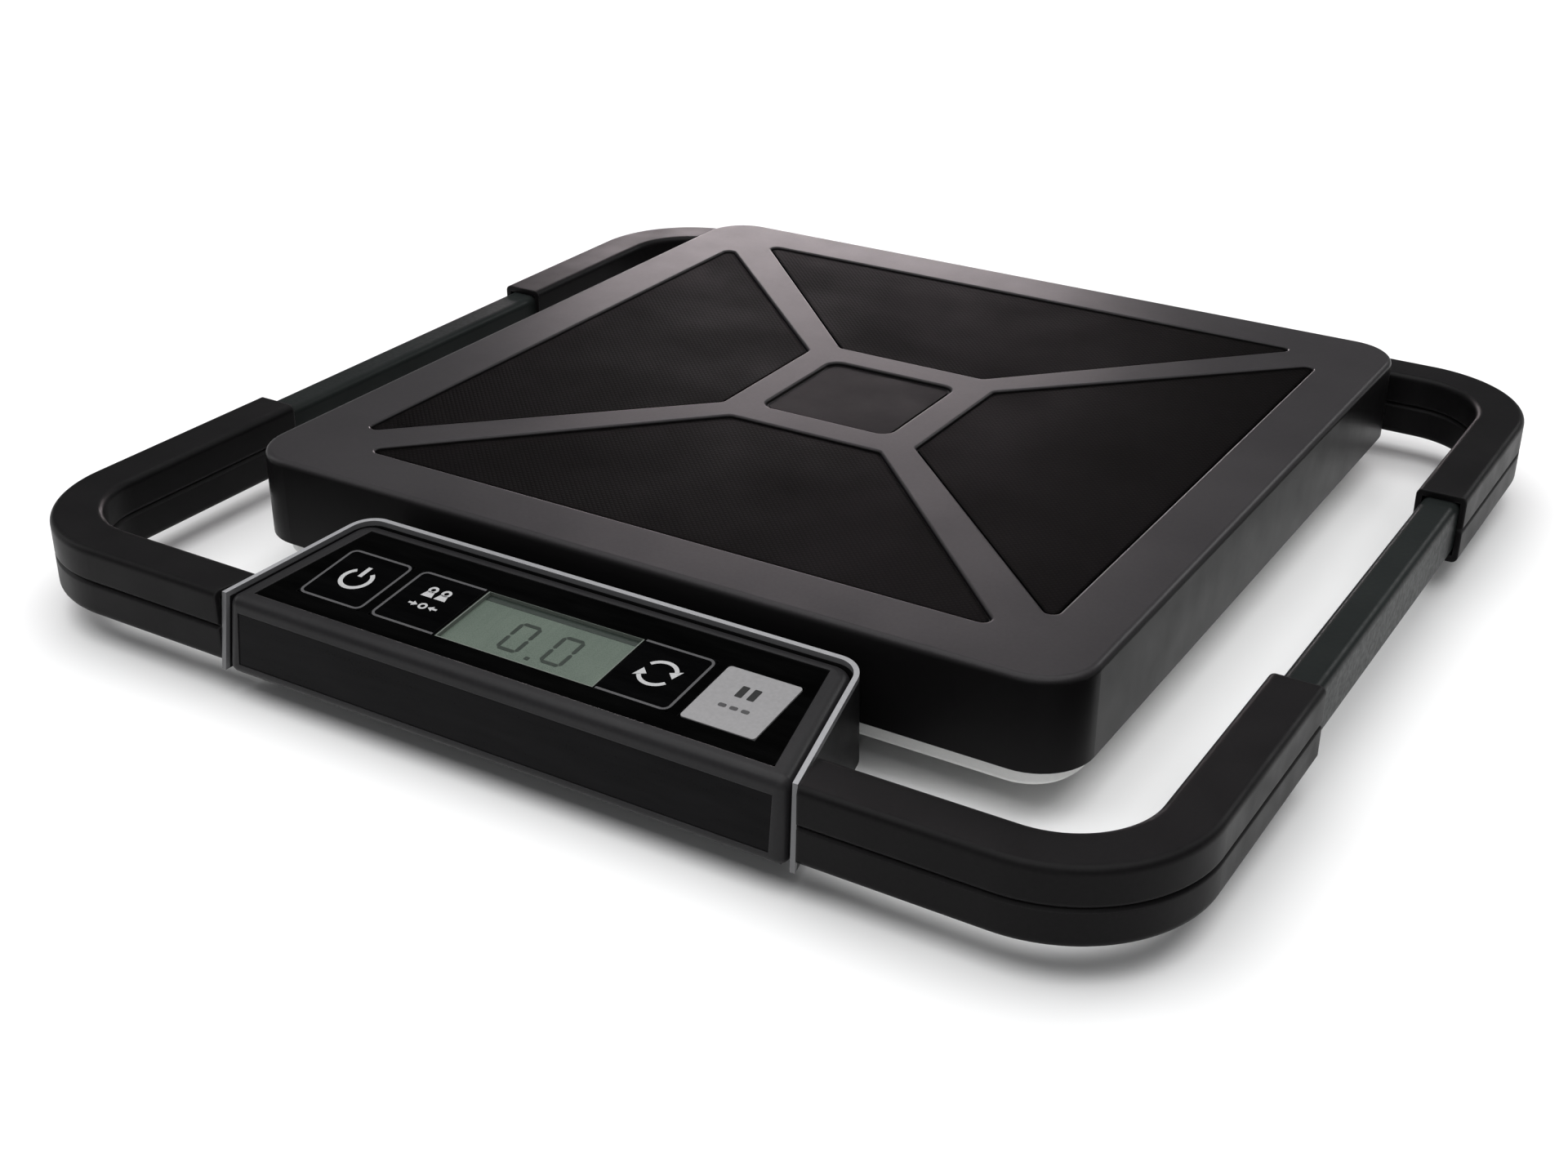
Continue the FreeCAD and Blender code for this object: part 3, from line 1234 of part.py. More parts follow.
def make_display_back():
    """The unit's underside: a cover plate with the battery bay and the board's posts moulded into it."""
    body = new_body("display_back", CONSOLE)
    gap = "Dims.unit_wall + 0.15"
    console_block(body, "-Dims.unit_height", "-Dims.unit_height + Dims.cover_thickness", gap, gap)
    bay = new_sketch(body, "-Dims.unit_height")
    rectangle(bay, "-Dims.bay_half - Dims.bay_wall", "Dims.bay_half + Dims.bay_wall",
              "Dims.bay_front - Dims.bay_wall", "Dims.bay_rear + Dims.bay_wall")
    pad(body, bay, "Dims.unit_height - Dims.bay_ceiling + Dims.bay_wall")
    room = new_sketch(body, "-Dims.unit_height")
    rectangle(room, "-Dims.bay_half", "Dims.bay_half", "Dims.bay_front", "Dims.bay_rear")
    pocket(body, room, "Dims.unit_height - Dims.bay_ceiling", up=True)
    posts = new_sketch(body, "-Dims.unit_height + Dims.cover_thickness / 2")
    for x, depth in BOARD_POSTS:
        circle(posts, x, depth, "Dims.post_radius")
    pad(body, posts, "Dims.unit_height - Dims.cover_thickness / 2 + (%s)" % BOARD_BOTTOM)
    sockets = new_sketch(body, "-Dims.bay_half - Dims.bay_wall", "YZ_Plane")
    circle(sockets, "Dims.hinge_depth", "-Dims.hinge_level", "Dims.hinge_pin + Dims.hinge_play")
    pocket(body, sockets, "2 * (Dims.bay_half + Dims.bay_wall)", up=True)


BATTERY_DEPTHS = [
    "Dims.bay_front + 1.4 + Dims.battery_radius * %d + 0.35 * %d" % (2 * i + 1, i) for i in range(3)]
BATTERY_LEVEL = "-Dims.bay_ceiling - 0.2 - Dims.battery_radius"


def make_batteries():
    body = new_body("batteries", CONSOLE)
    cans = new_sketch(body, "0", "YZ_Plane")
    nubs = new_sketch(body, "Dims.battery_length / 2", "YZ_Plane")
    for depth in BATTERY_DEPTHS:
        circle(cans, depth, BATTERY_LEVEL, "Dims.battery_radius")
        circle(nubs, depth, BATTERY_LEVEL, "1.9")
    pad(body, cans, "Dims.battery_length", middle=True)
    pad(body, nubs, "0.8")
    contacts = new_body("battery_contacts", CONSOLE)
    right = new_sketch(contacts, "Dims.bay_half - Dims.contact_sheet", "YZ_Plane")
    left = new_sketch(contacts, "-Dims.bay_half", "YZ_Plane")
    springs = new_sketch(contacts, "-Dims.bay_half + Dims.contact_sheet", "YZ_Plane")
    tips = new_sketch(contacts, "Dims.battery_length / 2 + 0.8", "YZ_Plane")
    for depth in BATTERY_DEPTHS:
        for sketch in (left, right):
            rectangle(sketch, depth + " - Dims.contact_half", depth + " + Dims.contact_half",
                      BATTERY_LEVEL + " - Dims.contact_half", BATTERY_LEVEL + " + Dims.contact_half")
        circle(springs, depth, BATTERY_LEVEL, "2.4")
        circle(tips, depth, BATTERY_LEVEL, "1.5")
    pad(contacts, left, "Dims.contact_sheet")
    pad(contacts, right, "Dims.contact_sheet")
    pad(contacts, springs, "Dims.bay_half - Dims.contact_sheet - Dims.battery_length / 2")
    pad(contacts, tips, "Dims.bay_half - Dims.contact_sheet - Dims.battery_length / 2 - 0.8")


def make_battery_door():
    """A flap with a barrel along its rear edge, whose end pins turn in the bay's side walls."""
    body = new_body("battery_door", CONSOLE)
    plan = new_sketch(body, "-Dims.unit_height")
    half = "(Dims.bay_half - Dims.door_gap)"
    rectangle(plan, "-" + half, half, "Dims.bay_front + Dims.door_gap", "Dims.bay_rear - 0.9")
    pad(body, plan, "Dims.door_thickness")
    dress(body, "Fillet", "1.5", lambda e: upright(e) and not rear(e))
    barrel = new_sketch(body, "0", "YZ_Plane")
    pins = new_sketch(body, "0", "YZ_Plane")
    circle(barrel, "Dims.hinge_depth", "-Dims.hinge_level", "Dims.hinge_barrel")
    circle(pins, "Dims.hinge_depth", "-Dims.hinge_level", "Dims.hinge_pin")
    pad(body, barrel, "2 * %s" % half, middle=True)
    pad(body, pins, "2 * Dims.hinge_pin_end", middle=True)
    grip = new_sketch(body, "-Dims.unit_height")
    for i in range(3):
        front = "Dims.bay_front + %d" % (4 + 3 * i)
        rectangle(grip, "-7", "7", front, "%s + 1.2" % front)
    pocket(body, grip, "0.6", up=True)


# ---- build, check and write ----

make_platform_cover()
make_pads()
make_centre_badge()
make_support_pan()
make_load_buttons()
make_base_tray()
make_load_cells()
make_cell_holders()
make_junction_board()
make_leads()
make_straps()
make_frame_tube()
make_sleeves()
make_cradle()
make_cradle_trim()
make_display_housing()
make_display_window()
make_front_fascia()
make_electronics()
make_keys()
make_display_back()
make_batteries()
make_battery_door()

doc.recompute()
for thing in doc.Objects:
    if "Invalid" in thing.State or "Error" in thing.State:
        raise RuntimeError("%s is not valid: %s" % (thing.Label, thing.State))
os.makedirs("parts", exist_ok=True)
for part in subparts:
    if part.Shape.isNull() or not part.Shape.isValid():
        raise RuntimeError("%s has no valid shape" % part.Label)
    part.Shape.exportStep("parts/%s.step" % part.Label)
print("%d sub-parts written" % len(subparts))
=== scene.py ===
import json
import math

import bmesh
import bpy
from mathutils import Matrix, Vector


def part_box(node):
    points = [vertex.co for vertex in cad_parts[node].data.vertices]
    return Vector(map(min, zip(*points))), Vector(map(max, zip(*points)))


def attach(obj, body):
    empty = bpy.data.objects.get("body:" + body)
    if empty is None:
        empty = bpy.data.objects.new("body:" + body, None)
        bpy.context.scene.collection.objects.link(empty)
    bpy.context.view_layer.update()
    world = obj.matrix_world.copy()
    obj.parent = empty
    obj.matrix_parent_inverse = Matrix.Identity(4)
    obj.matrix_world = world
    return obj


# Everything is in metres, in the CAD frame: +X to the right of someone facing the display, +Y to the back,
# +Z up, origin on the floor under the middle of the scale.

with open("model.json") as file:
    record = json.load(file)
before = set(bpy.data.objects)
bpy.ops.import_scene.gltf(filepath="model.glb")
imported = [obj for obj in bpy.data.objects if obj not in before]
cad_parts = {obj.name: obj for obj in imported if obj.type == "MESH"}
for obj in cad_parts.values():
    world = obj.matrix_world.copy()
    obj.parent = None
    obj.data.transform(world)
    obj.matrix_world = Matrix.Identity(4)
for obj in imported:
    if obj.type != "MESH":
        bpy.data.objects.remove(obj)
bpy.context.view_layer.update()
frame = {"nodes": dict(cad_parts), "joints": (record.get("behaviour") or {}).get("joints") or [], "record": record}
NODES = frame["nodes"]
SLOT_OF = {item["node"]: item["material_slot"] for item in frame["record"]["subparts"]}
MM = 0.001


# ---------------------------------------------------------------------------------------------------------
# Shader helpers
# ---------------------------------------------------------------------------------------------------------

class Shader:
    """A small wrapper round a material's node tree. Sockets are given as (node, output) pairs or numbers."""

    def __init__(self, name):
        self.material = bpy.data.materials.new(name)
        self.material.use_nodes = True
        self.tree = self.material.node_tree
        self.principled = next(n for n in self.tree.nodes if n.type == "BSDF_PRINCIPLED")
        coordinates = self.tree.nodes.new("ShaderNodeTexCoord")
        self.place = coordinates.outputs["Object"]

    def node(self, kind, inputs=(), **settings):
        made = self.tree.nodes.new(kind)
        for key, value in settings.items():
            setattr(made, key, value)
        for key, value in dict(inputs).items():
            self.feed(made.inputs[key], value)
        return made

    def feed(self, socket, value):
        if isinstance(value, bpy.types.NodeSocket):
            self.tree.links.new(value, socket)
        elif isinstance(value, (tuple, list)) and socket.type == "RGBA" and len(value) == 3:
            socket.default_value = (*value, 1.0)
        else:
            socket.default_value = value

    def math(self, operation, a, b=0.0, clamp=False):
        made = self.node("ShaderNodeMath", {0: a, 1: b}, operation=operation, use_clamp=clamp)
        return made.outputs[0]

    def noise(self, scale, detail=2.0, roughness=0.5, where=None):
        inputs = {"Vector": where or self.place, "Scale": scale, "Detail": detail, "Roughness": roughness}
        return self.node("ShaderNodeTexNoise", inputs).outputs["Fac"]

    def stretched(self, factors):
        return self.node("ShaderNodeVectorMath", {0: self.place, 1: factors}, operation="MULTIPLY").outputs[0]

    def ramp(self, value, low, high, start=0.0, end=1.0):
        inputs = {"Value": value, "From Min": start, "From Max": end, "To Min": low, "To Max": high}
        return self.node("ShaderNodeMapRange", inputs).outputs["Result"]

    def blend(self, amount, a, b):
        made = self.node("ShaderNodeMix", data_type="RGBA")
        self.feed(made.inputs["Factor"], amount)
        self.feed(made.inputs[6], a)
        self.feed(made.inputs[7], b)
        return made.outputs[2]

    def bump(self, height, distance, strength=1.0, normal=None):
        inputs = {"Height": height, "Distance": distance, "Strength": strength}
        made = self.node("ShaderNodeBump", inputs)
        if normal is not None:
            self.feed(made.inputs["Normal"], normal)
        return made.outputs["Normal"]

    def soft_edge(self, radius):
        return self.node("ShaderNodeBevel", {"Radius": radius}, samples=4).outputs["Normal"]

    def edge_nearness(self, radius, low=0.02, high=0.25):
        """How close a point is to an edge, from how far a rounded normal leaves the true one."""
        rounded = self.soft_edge(radius)
        true = self.node("ShaderNodeNewGeometry").outputs["Normal"]
        product = self.node("ShaderNodeVectorMath", {0: rounded, 1: true}, operation="DOT_PRODUCT")
        away = self.math("SUBTRACT", 1.0, product.outputs["Value"])
        return self.ramp(away, 0.0, 1.0, low, high)

    def set(self, **values):
        names = {"color": "Base Color", "roughness": "Roughness", "metallic": "Metallic", "normal": "Normal",
                 "specular": "Specular IOR Level"}
        for key, value in values.items():
            self.feed(self.principled.inputs[names[key]], value)
        return self.material


def moulded(name, dark, light, roughness=(0.38, 0.52), grain=0.00001, grain_scale=2600.0, wear_and_highlight=0.25,
            edge=0.0004, specular=0.5, side_shade_keep=1.0):
    """Injection-moulded plastic: spark-eroded grain, faint flow clouds, and edges made brighter, partly as rubbed
    wear and partly as painted highlight.
    The steeper faces get painted shade: the side share is how much of the top's tone they keep."""
    s = Shader(name)
    clouds = s.noise(14.0, 3.0)
    speck = s.noise(900.0, 2.0)
    tone = s.math("ADD", s.math("MULTIPLY", clouds, 0.65), s.math("MULTIPLY", speck, 0.35))
    base = s.blend(s.ramp(tone, 0.0, 1.0, 0.3, 0.7), dark, light)
    # Painted shade: the steeper faces are darkened to a share of the top's tone, standing in for how light falls
    # on them.
    if side_shade_keep < 1.0:
        facing = s.node("ShaderNodeNewGeometry").outputs["Normal"]
        up = s.node("ShaderNodeSeparateXYZ", {0: facing}).outputs["Z"]
        steep = s.ramp(up, 1.0, 0.0, 0.25, 0.75)
        shaded_side_dark = tuple(side_shade_keep * c for c in dark)
        shaded_side_light = tuple(side_shade_keep * c for c in light)
        base = s.blend(steep, base, s.blend(tone, shaded_side_dark, shaded_side_light))
    # Edges are brightened, partly as rubbed wear and partly as a painted highlight on the edges.
    worn_highlit_edge = s.math("MULTIPLY", s.edge_nearness(edge), wear_and_highlight)
    worn_highlit_colour = tuple(min(1.0, 1.9 * c + 0.02) for c in light)
    base = s.blend(worn_highlit_edge, base, worn_highlit_colour)
    rough = s.ramp(s.noise(60.0, 4.0), roughness[0], roughness[1], 0.3, 0.7)
    fine = s.noise(grain_scale, 3.0, 0.6)
    normal = s.bump(fine, grain, 1.0, s.soft_edge(edge))
    return s.set(color=base, roughness=rough, normal=normal, specular=specular)


def brushed(name, color, roughness=(0.28, 0.42)):
    """Plated or turned metal with fine directional scratches."""
    s = Shader(name)
    streaks = s.noise(80.0, 4.0, 0.6, where=s.stretched((1.0, 60.0, 60.0)))
    clouds = s.noise(30.0, 2.0)
    tone = s.math("ADD", s.math("MULTIPLY", streaks, 0.5), s.math("MULTIPLY", clouds, 0.5))
    dark = tuple(0.72 * c for c in color)
    base = s.blend(s.ramp(tone, 0.0, 1.0, 0.3, 0.7), dark, color)
    rough = s.ramp(streaks, roughness[0], roughness[1], 0.3, 0.7)
    normal = s.bump(streaks, 0.00002, 0.6, s.soft_edge(0.0003))
    return s.set(color=base, roughness=rough, metallic=1.0, normal=normal)


def knurled_rubber(name):
    """Near-black rubber with a fine diamond grid of low pyramids."""
    s = Shader(name)
    pitch = 1.4 * MM
    turned = s.node("ShaderNodeVectorRotate", {"Vector": s.place, "Angle": math.radians(45.0)},
                    rotation_type="Z_AXIS").outputs[0]
    axes = s.node("ShaderNodeSeparateXYZ", {0: turned})
    waves = []
    for axis in ("X", "Y"):
        turns = s.math("DIVIDE", axes.outputs[axis], pitch)
        waves.append(s.math("PINGPONG", turns, 0.5))
    height = s.math("MULTIPLY", s.math("MINIMUM", waves[0], waves[1]), 2.0)
    clouds = s.noise(22.0, 3.0)
    dust = s.noise(700.0, 2.0)
    # The grid's valleys are painted darker than the pyramid tops: painted shade in the valleys.
    base = s.blend(s.ramp(height, 0.0, 1.0, 0.05, 0.7), (0.0005, 0.0004, 0.0004), (0.0027, 0.0024, 0.0023))
    film = s.math("MULTIPLY", s.ramp(clouds, 0.0, 0.3, 0.35, 0.75), dust)
    base = s.blend(film, base, (0.0052, 0.0047, 0.0045))
    # Painted shade: the pad's border is darkened and roughened, standing in for the shadow in the groove round the
    # pad.
    painted_border_shade = s.edge_nearness(1.5 * MM, 0.002, 0.02)
    base = s.blend(painted_border_shade, base, (0.0004, 0.0004, 0.0004))
    rough = s.math("ADD", s.ramp(clouds, 0.46, 0.60, 0.3, 0.7), s.math("MULTIPLY", painted_border_shade, 0.4), clamp=True)
    normal = s.bump(height, 0.00008, 0.7)
    normal = s.bump(s.noise(4200.0, 2.0), 0.000006, 1.0, normal)
    return s.set(color=base, roughness=rough, normal=normal, specular=0.009)


def glossy(name, color, roughness, haze=0.05, wear_and_highlight=0.15, ripple=0.000004, specular=0.5):
    """Polished plastic with a faint haze, fine wipe marks and a very slight ripple."""
    s = Shader(name)
    wipes = s.noise(28.0, 5.0, 0.65, where=s.stretched((1.0, 7.0, 7.0)))
    dust = s.noise(1500.0, 1.0)
    lighter = tuple(min(1.0, 1.6 * c + 0.0012) for c in color)
    base = s.blend(s.ramp(wipes, 0.0, 1.0, 0.35, 0.75), color, lighter)
    # Edges are brightened, partly as rubbed wear and partly as a painted highlight on the edges.
    worn_highlit_edge = tuple(min(1.0, 2.0 * c + 0.05) for c in color)
    base = s.blend(s.math("MULTIPLY", s.edge_nearness(0.0003), wear_and_highlight), base, worn_highlit_edge)
    rough = s.math("ADD", roughness, s.math("MULTIPLY", s.math("MULTIPLY", wipes, dust), haze * 2.0))
    normal = s.bump(s.noise(140.0, 2.0), ripple, 1.0, s.soft_edge(0.00025))
    return s.set(color=base, roughness=rough, normal=normal, specular=specular)


def powder_coat(name):
    """Satin powder-coated steel tube: soft orange-peel with a green-grey cast."""
    s = Shader(name)
    peel = s.noise(520.0, 2.0, 0.5)
    clouds = s.noise(18.0, 3.0)
    base = s.blend(s.ramp(clouds, 0.0, 1.0, 0.3, 0.7), (0.0085, 0.0102, 0.0100), (0.0145, 0.0168, 0.0163))
    # The edges are lightened, partly as rubbed wear and partly as a painted highlight along the tube's edges.
    base = s.blend(s.math("MULTIPLY", s.edge_nearness(0.0008), 0.35), base, (0.085, 0.090, 0.090))
    rough = s.ramp(peel, 0.30, 0.42, 0.3, 0.7)
    normal = s.bump(peel, 0.00003, 0.8)
    return s.set(color=base, roughness=rough, normal=normal, specular=0.06)


def crystal(name):
    """The display's liquid-crystal cell: grey-green with a faint column grain."""
    s = Shader(name)
    columns = s.noise(60.0, 3.0, 0.6, where=s.stretched((26.0, 1.0, 1.0)))
    clouds = s.noise(45.0, 3.0)
    tone = s.math("ADD", s.math("MULTIPLY", columns, 0.5), s.math("MULTIPLY", clouds, 0.5))
    base = s.blend(s.ramp(tone, 0.0, 1.0, 0.3, 0.7), (0.070, 0.092, 0.075), (0.100, 0.125, 0.102))
    dots = s.noise(2600.0, 1.0)
    rough = s.ramp(dots, 0.22, 0.34, 0.3, 0.7)
    normal = s.bump(dots, 0.000003, 1.0)
    return s.set(color=base, roughness=rough, normal=normal, specular=0.25)


def circuit(name):
    """Green solder mask over copper tracks."""
    s = Shader(name)
    lines = s.node("ShaderNodeTexBrick", {"Vector": s.stretched((1.0, 1.0, 0.0)), "Scale": 55.0,
                                          "Mortar Size": 0.035, "Color1": (0.012, 0.085, 0.032),
                                          "Color2": (0.008, 0.066, 0.026), "Mortar": (0.030, 0.150, 0.055)})
    speck = s.noise(500.0, 2.0)
    base = s.blend(s.ramp(speck, 0.0, 0.3, 0.4, 0.8), lines.outputs["Color"], (0.02, 0.11, 0.045))
    normal = s.bump(lines.outputs["Fac"], 0.00003, 0.7)
    return s.set(color=base, roughness=s.ramp(speck, 0.2, 0.34, 0.3, 0.7), normal=normal)


def battery_wrap(name, first, length):
    """A printed sleeve with a copper-coloured band at one end and bare ends, along X."""
    s = Shader(name)
    x = s.node("ShaderNodeSeparateXYZ", {0: s.place}).outputs["X"]
    share = s.math("DIVIDE", s.math("SUBTRACT", x, first), length)
    band = s.math("GREATER_THAN", share, 0.72)
    grain = s.noise(400.0, 3.0)
    body = s.blend(s.ramp(grain, 0.0, 1.0, 0.3, 0.7), (0.012, 0.013, 0.015), (0.028, 0.030, 0.034))
    copper = s.blend(s.ramp(grain, 0.0, 1.0, 0.3, 0.7), (0.38, 0.17, 0.07), (0.50, 0.24, 0.10))
    base = s.blend(band, body, copper)
    tip = s.math("GREATER_THAN", share, 0.975)
    base = s.blend(tip, base, (0.5, 0.5, 0.5))
    rough = s.ramp(grain, 0.2, 0.32, 0.3, 0.7)
    bare = s.math("MAXIMUM", band, tip)
    return s.set(color=base, roughness=rough, metallic=bare, normal=s.bump(grain, 0.000006, 1.0))


def sheath(name):
    """Matt cable sheath."""
    s = Shader(name)
    grain = s.noise(1300.0, 2.0)
    base = s.blend(s.ramp(grain, 0.0, 1.0, 0.3, 0.7), (0.035, 0.036, 0.038), (0.07, 0.07, 0.074))
    rough = s.ramp(grain, 0.42, 0.56, 0.3, 0.7)
    return s.set(color=base, roughness=rough, normal=s.bump(grain, 0.00001, 1.0))


def print_ink(name, color, roughness=0.5):
    """Screen-printed ink: slightly uneven cover."""
    s = Shader(name)
    cover = s.noise(1600.0, 3.0, 0.7)
    worn = tuple(0.78 * c for c in color)
    base = s.blend(s.ramp(cover, 0.0, 1.0, 0.3, 0.6), worn, color)
    return s.set(color=base, roughness=s.ramp(cover, roughness - 0.06, roughness + 0.08, 0.3, 0.7),
                 normal=s.bump(cover, 0.000004, 1.0), specular=0.35)


def floor_paper(name):
    """Matt white studio paper."""
    s = Shader(name)
    clouds = s.noise(1.2, 3.0)
    fibre = s.noise(700.0, 3.0)
    base = s.blend(s.ramp(clouds, 0.0, 1.0, 0.3, 0.7), (0.86, 0.86, 0.86), (0.89, 0.89, 0.89))
    rough = s.ramp(fibre, 0.75, 0.85)
    return s.set(color=base, roughness=rough, normal=s.bump(fibre, 0.00002, 0.3), specular=0.15)


BATTERY_LOW, BATTERY_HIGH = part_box("batteries")
LOOKS = {
    "platform_shell": moulded(
        "platform_satin", (0.0235, 0.0220, 0.0235), (0.0345, 0.0325, 0.0340), (0.28, 0.35),
        grain=0.000004, wear_and_highlight=0.6, edge=0.0004, specular=0.08, side_shade_keep=0.2),
    "pad_rubber": knurled_rubber("pad_grip"),
    "badge": moulded(
        "badge_satin", (0.0022, 0.0020, 0.0022), (0.0040, 0.0037, 0.0040), (0.42, 0.52),
        wear_and_highlight=0.5, edge=0.0006, specular=0.019),
    "zinc_steel": brushed("zinc_sheet", (0.56, 0.57, 0.58)),
    "button_steel": brushed("turned_steel", (0.50, 0.50, 0.51), (0.22, 0.34)),
    "tray_plastic": moulded(
        "tray_grey", (0.74, 0.74, 0.73), (0.83, 0.83, 0.815), (0.45, 0.58), wear_and_highlight=0.1, edge=0.0004),
    "cell_steel": brushed("cell_nickel", (0.60, 0.60, 0.58), (0.2, 0.3)),
    "holder_plastic": moulded(
        "holder_black", (0.012, 0.012, 0.013), (0.022, 0.022, 0.023), (0.45, 0.6)),
    "foot_rubber": moulded(
        "foot_rubber_black", (0.008, 0.008, 0.008), (0.015, 0.015, 0.015), (0.7, 0.85),
        grain=0.00003, grain_scale=1500.0, specular=0.2),
    "circuit_board": circuit("solder_mask"),
    "component_black": moulded(
        "component_epoxy", (0.006, 0.006, 0.006), (0.012, 0.012, 0.012), (0.4, 0.52), specular=0.3),
    "lead_grey": sheath("lead_sheath"),
    "screw_steel": brushed("screw_zinc", (0.58, 0.58, 0.57), (0.24, 0.36)),
    "tube_coat": powder_coat("tube_powder_coat"),
    "sleeve_plastic": moulded(
        "sleeve_black", (0.0036, 0.0034, 0.0036), (0.0070, 0.0065, 0.0069), (0.34, 0.46),
        grain=0.000012, wear_and_highlight=0.8, edge=0.0011, specular=0.07),
    "cradle_plastic": moulded(
        "cradle_black", (0.0040, 0.0040, 0.0042), (0.0075, 0.0074, 0.0078), (0.38, 0.50),
        wear_and_highlight=0.25, specular=0.14),
    "trim_silver": moulded(
        "trim_silver_grey", (0.23, 0.23, 0.24), (0.31, 0.31, 0.32), (0.28, 0.38),
        wear_and_highlight=0.2, edge=0.0002, side_shade_keep=0.42),
    "housing_plastic": moulded(
        "housing_grey", (0.0105, 0.0100, 0.0108), (0.0170, 0.0164, 0.0174), (0.32, 0.42),
        wear_and_highlight=0.5, edge=0.0005, specular=0.15),
    "window_gloss": glossy("window_black", (0.0004, 0.0004, 0.0004), 0.06, haze=0.03, specular=0.018),
    "fascia_gloss": glossy("fascia_black", (0.0034, 0.0032, 0.0036), 0.26, specular=0.05),
    "lcd_glass": crystal("crystal_cell"),
    "backlight_white": moulded(
        "diffuser_white", (0.62, 0.63, 0.61), (0.72, 0.73, 0.71), (0.4, 0.5), wear_and_highlight=0.0),
    "port_metal": brushed("port_nickel", (0.62, 0.62, 0.61), (0.2, 0.3)),
    "battery_label": battery_wrap("battery_wrap", BATTERY_LOW.x, BATTERY_HIGH.x - BATTERY_LOW.x),
    "key_gloss": glossy("key_black", (0.0005, 0.0005, 0.0006), 0.10, haze=0.03, specular=0.022),
    "key_silver": moulded(
        "key_silver_grey", (0.185, 0.181, 0.185), (0.255, 0.251, 0.255), (0.34, 0.46),
        wear_and_highlight=0.12, edge=0.0003, grain=0.00002, grain_scale=1400.0, specular=0.3),
}
INK_LIGHT = print_ink("ink_light", (0.42, 0.42, 0.425))
INK_LINE = print_ink("ink_line", (0.060, 0.059, 0.062))
INK_DARK = print_ink("ink_dark", (0.003, 0.003, 0.003))
INK_GREY = print_ink("ink_grey", (0.045, 0.044, 0.046))
SEGMENT = print_ink("segment_dark", (0.013, 0.021, 0.015), 0.35)
PAINTED_CELL_SHADOW = print_ink("painted_cell_shadow", (0.020, 0.028, 0.023), 0.35)
LIP = print_ink("cell_lip", (0.120, 0.137, 0.120), 0.4)

for name, item in NODES.items():
    look = LOOKS[SLOT_OF[name]]
    item.data.materials.clear()
    item.data.materials.append(look)


# ---------------------------------------------------------------------------------------------------------
# The console's own tilted directions, read from the joint along which the unit slides out
# ---------------------------------------------------------------------------------------------------------

SLIDE = next(joint for joint in frame["joints"] if joint["name"] == "display_dock")
ACROSS = Vector((1.0, 0.0, 0.0))
UP_SLOPE = -Vector(SLIDE["axis"]).normalized()
OUT = ACROSS.cross(UP_SLOPE)


SUNK = 0.02 * MM  # how far a print or segment reaches below the face that carries it
SEGMENT_RISE = 0.06 * MM
SHADOW_RISE = 0.08 * MM
INK_SUNK = 0.03 * MM
INK_RISE = 0.07 * MM
LINE_RISE = 0.06 * MM
LIP_SINK = 0.12 * MM  # the lip stays this far under the window's face
SHADOW_WIDTH = 2.7 * MM
KEY_LINE_RADIUS = 2.2 * MM


def span(node):
    """(low, high) of a node measured across, up the slope and out of it."""
    points = [v.co for v in NODES[node].data.vertices]
    ranges = []
    for direction in (ACROSS, UP_SLOPE, OUT):
        along = [p.dot(direction) for p in points]
        ranges.append((min(along), max(along)))
    return ranges


def on_slope(u, v, n):
    return ACROSS * u + UP_SLOPE * v + OUT * n


def add_piece(name, mesh, material, body):
    piece = bpy.data.objects.new(name, mesh)
    bpy.context.scene.collection.objects.link(piece)
    mesh.materials.append(material)
    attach(piece, body)
    return piece


def prism(bm, outline, low, high, place):
    """Extrude a closed outline between two levels; place turns (u, v, level) into a point."""
    bottom = [bm.verts.new(place(u, v, low)) for u, v in outline]
    top = [bm.verts.new(place(u, v, high)) for u, v in outline]
    bm.faces.new(top)
    bm.faces.new(list(reversed(bottom)))
    count = len(outline)
    for i in range(count):
        j = (i + 1) % count
        bm.faces.new((bottom[i], bottom[j], top[j], top[i]))


def ring_prism(bm, outer, inner, low, high, place):
    """A closed band between two outlines with the same number of points."""
    rows = [[bm.verts.new(place(u, v, level)) for u, v in line]
            for line, level in ((outer, low), (outer, high), (inner, high), (inner, low))]
    count = len(outer)
    for i in range(count):
        j = (i + 1) % count
        for a, b in ((0, 1), (1, 2), (2, 3), (3, 0)):
            bm.faces.new((rows[a][i], rows[a][j], rows[b][j], rows[b][i]))


def rounded_box(u0, u1, v0, v1, radii, steps=5):
    """A rectangle's outline with its own radius at each corner, anticlockwise from the lower left."""
    corners = [(u0, v0, 180, radii[0], 1, 1), (u1, v0, 270, radii[1], -1, 1),
               (u1, v1, 0, radii[2], -1, -1), (u0, v1, 90, radii[3], 1, -1)]
    points = []
    for u, v, start, radius, inward_u, inward_v in corners:
        for step in range(steps + 1):
            angle = math.radians(start + 90.0 * step / steps)
            points.append((u + inward_u * radius + radius * math.cos(angle),
                           v + inward_v * radius + radius * math.sin(angle)))
    return points


def arc_band(centre, radius, width, start, end, steps=24):
    """The outline of an arc-shaped stroke, in degrees."""
    outer, inner = [], []
    for step in range(steps + 1):
        angle = math.radians(start + (end - start) * step / steps)
        u, v = math.cos(angle), math.sin(angle)
        far, near = radius + width / 2, radius - width / 2
        outer.append((centre[0] + far * u, centre[1] + far * v))
        inner.append((centre[0] + near * u, centre[1] + near * v))
    return outer + list(reversed(inner))


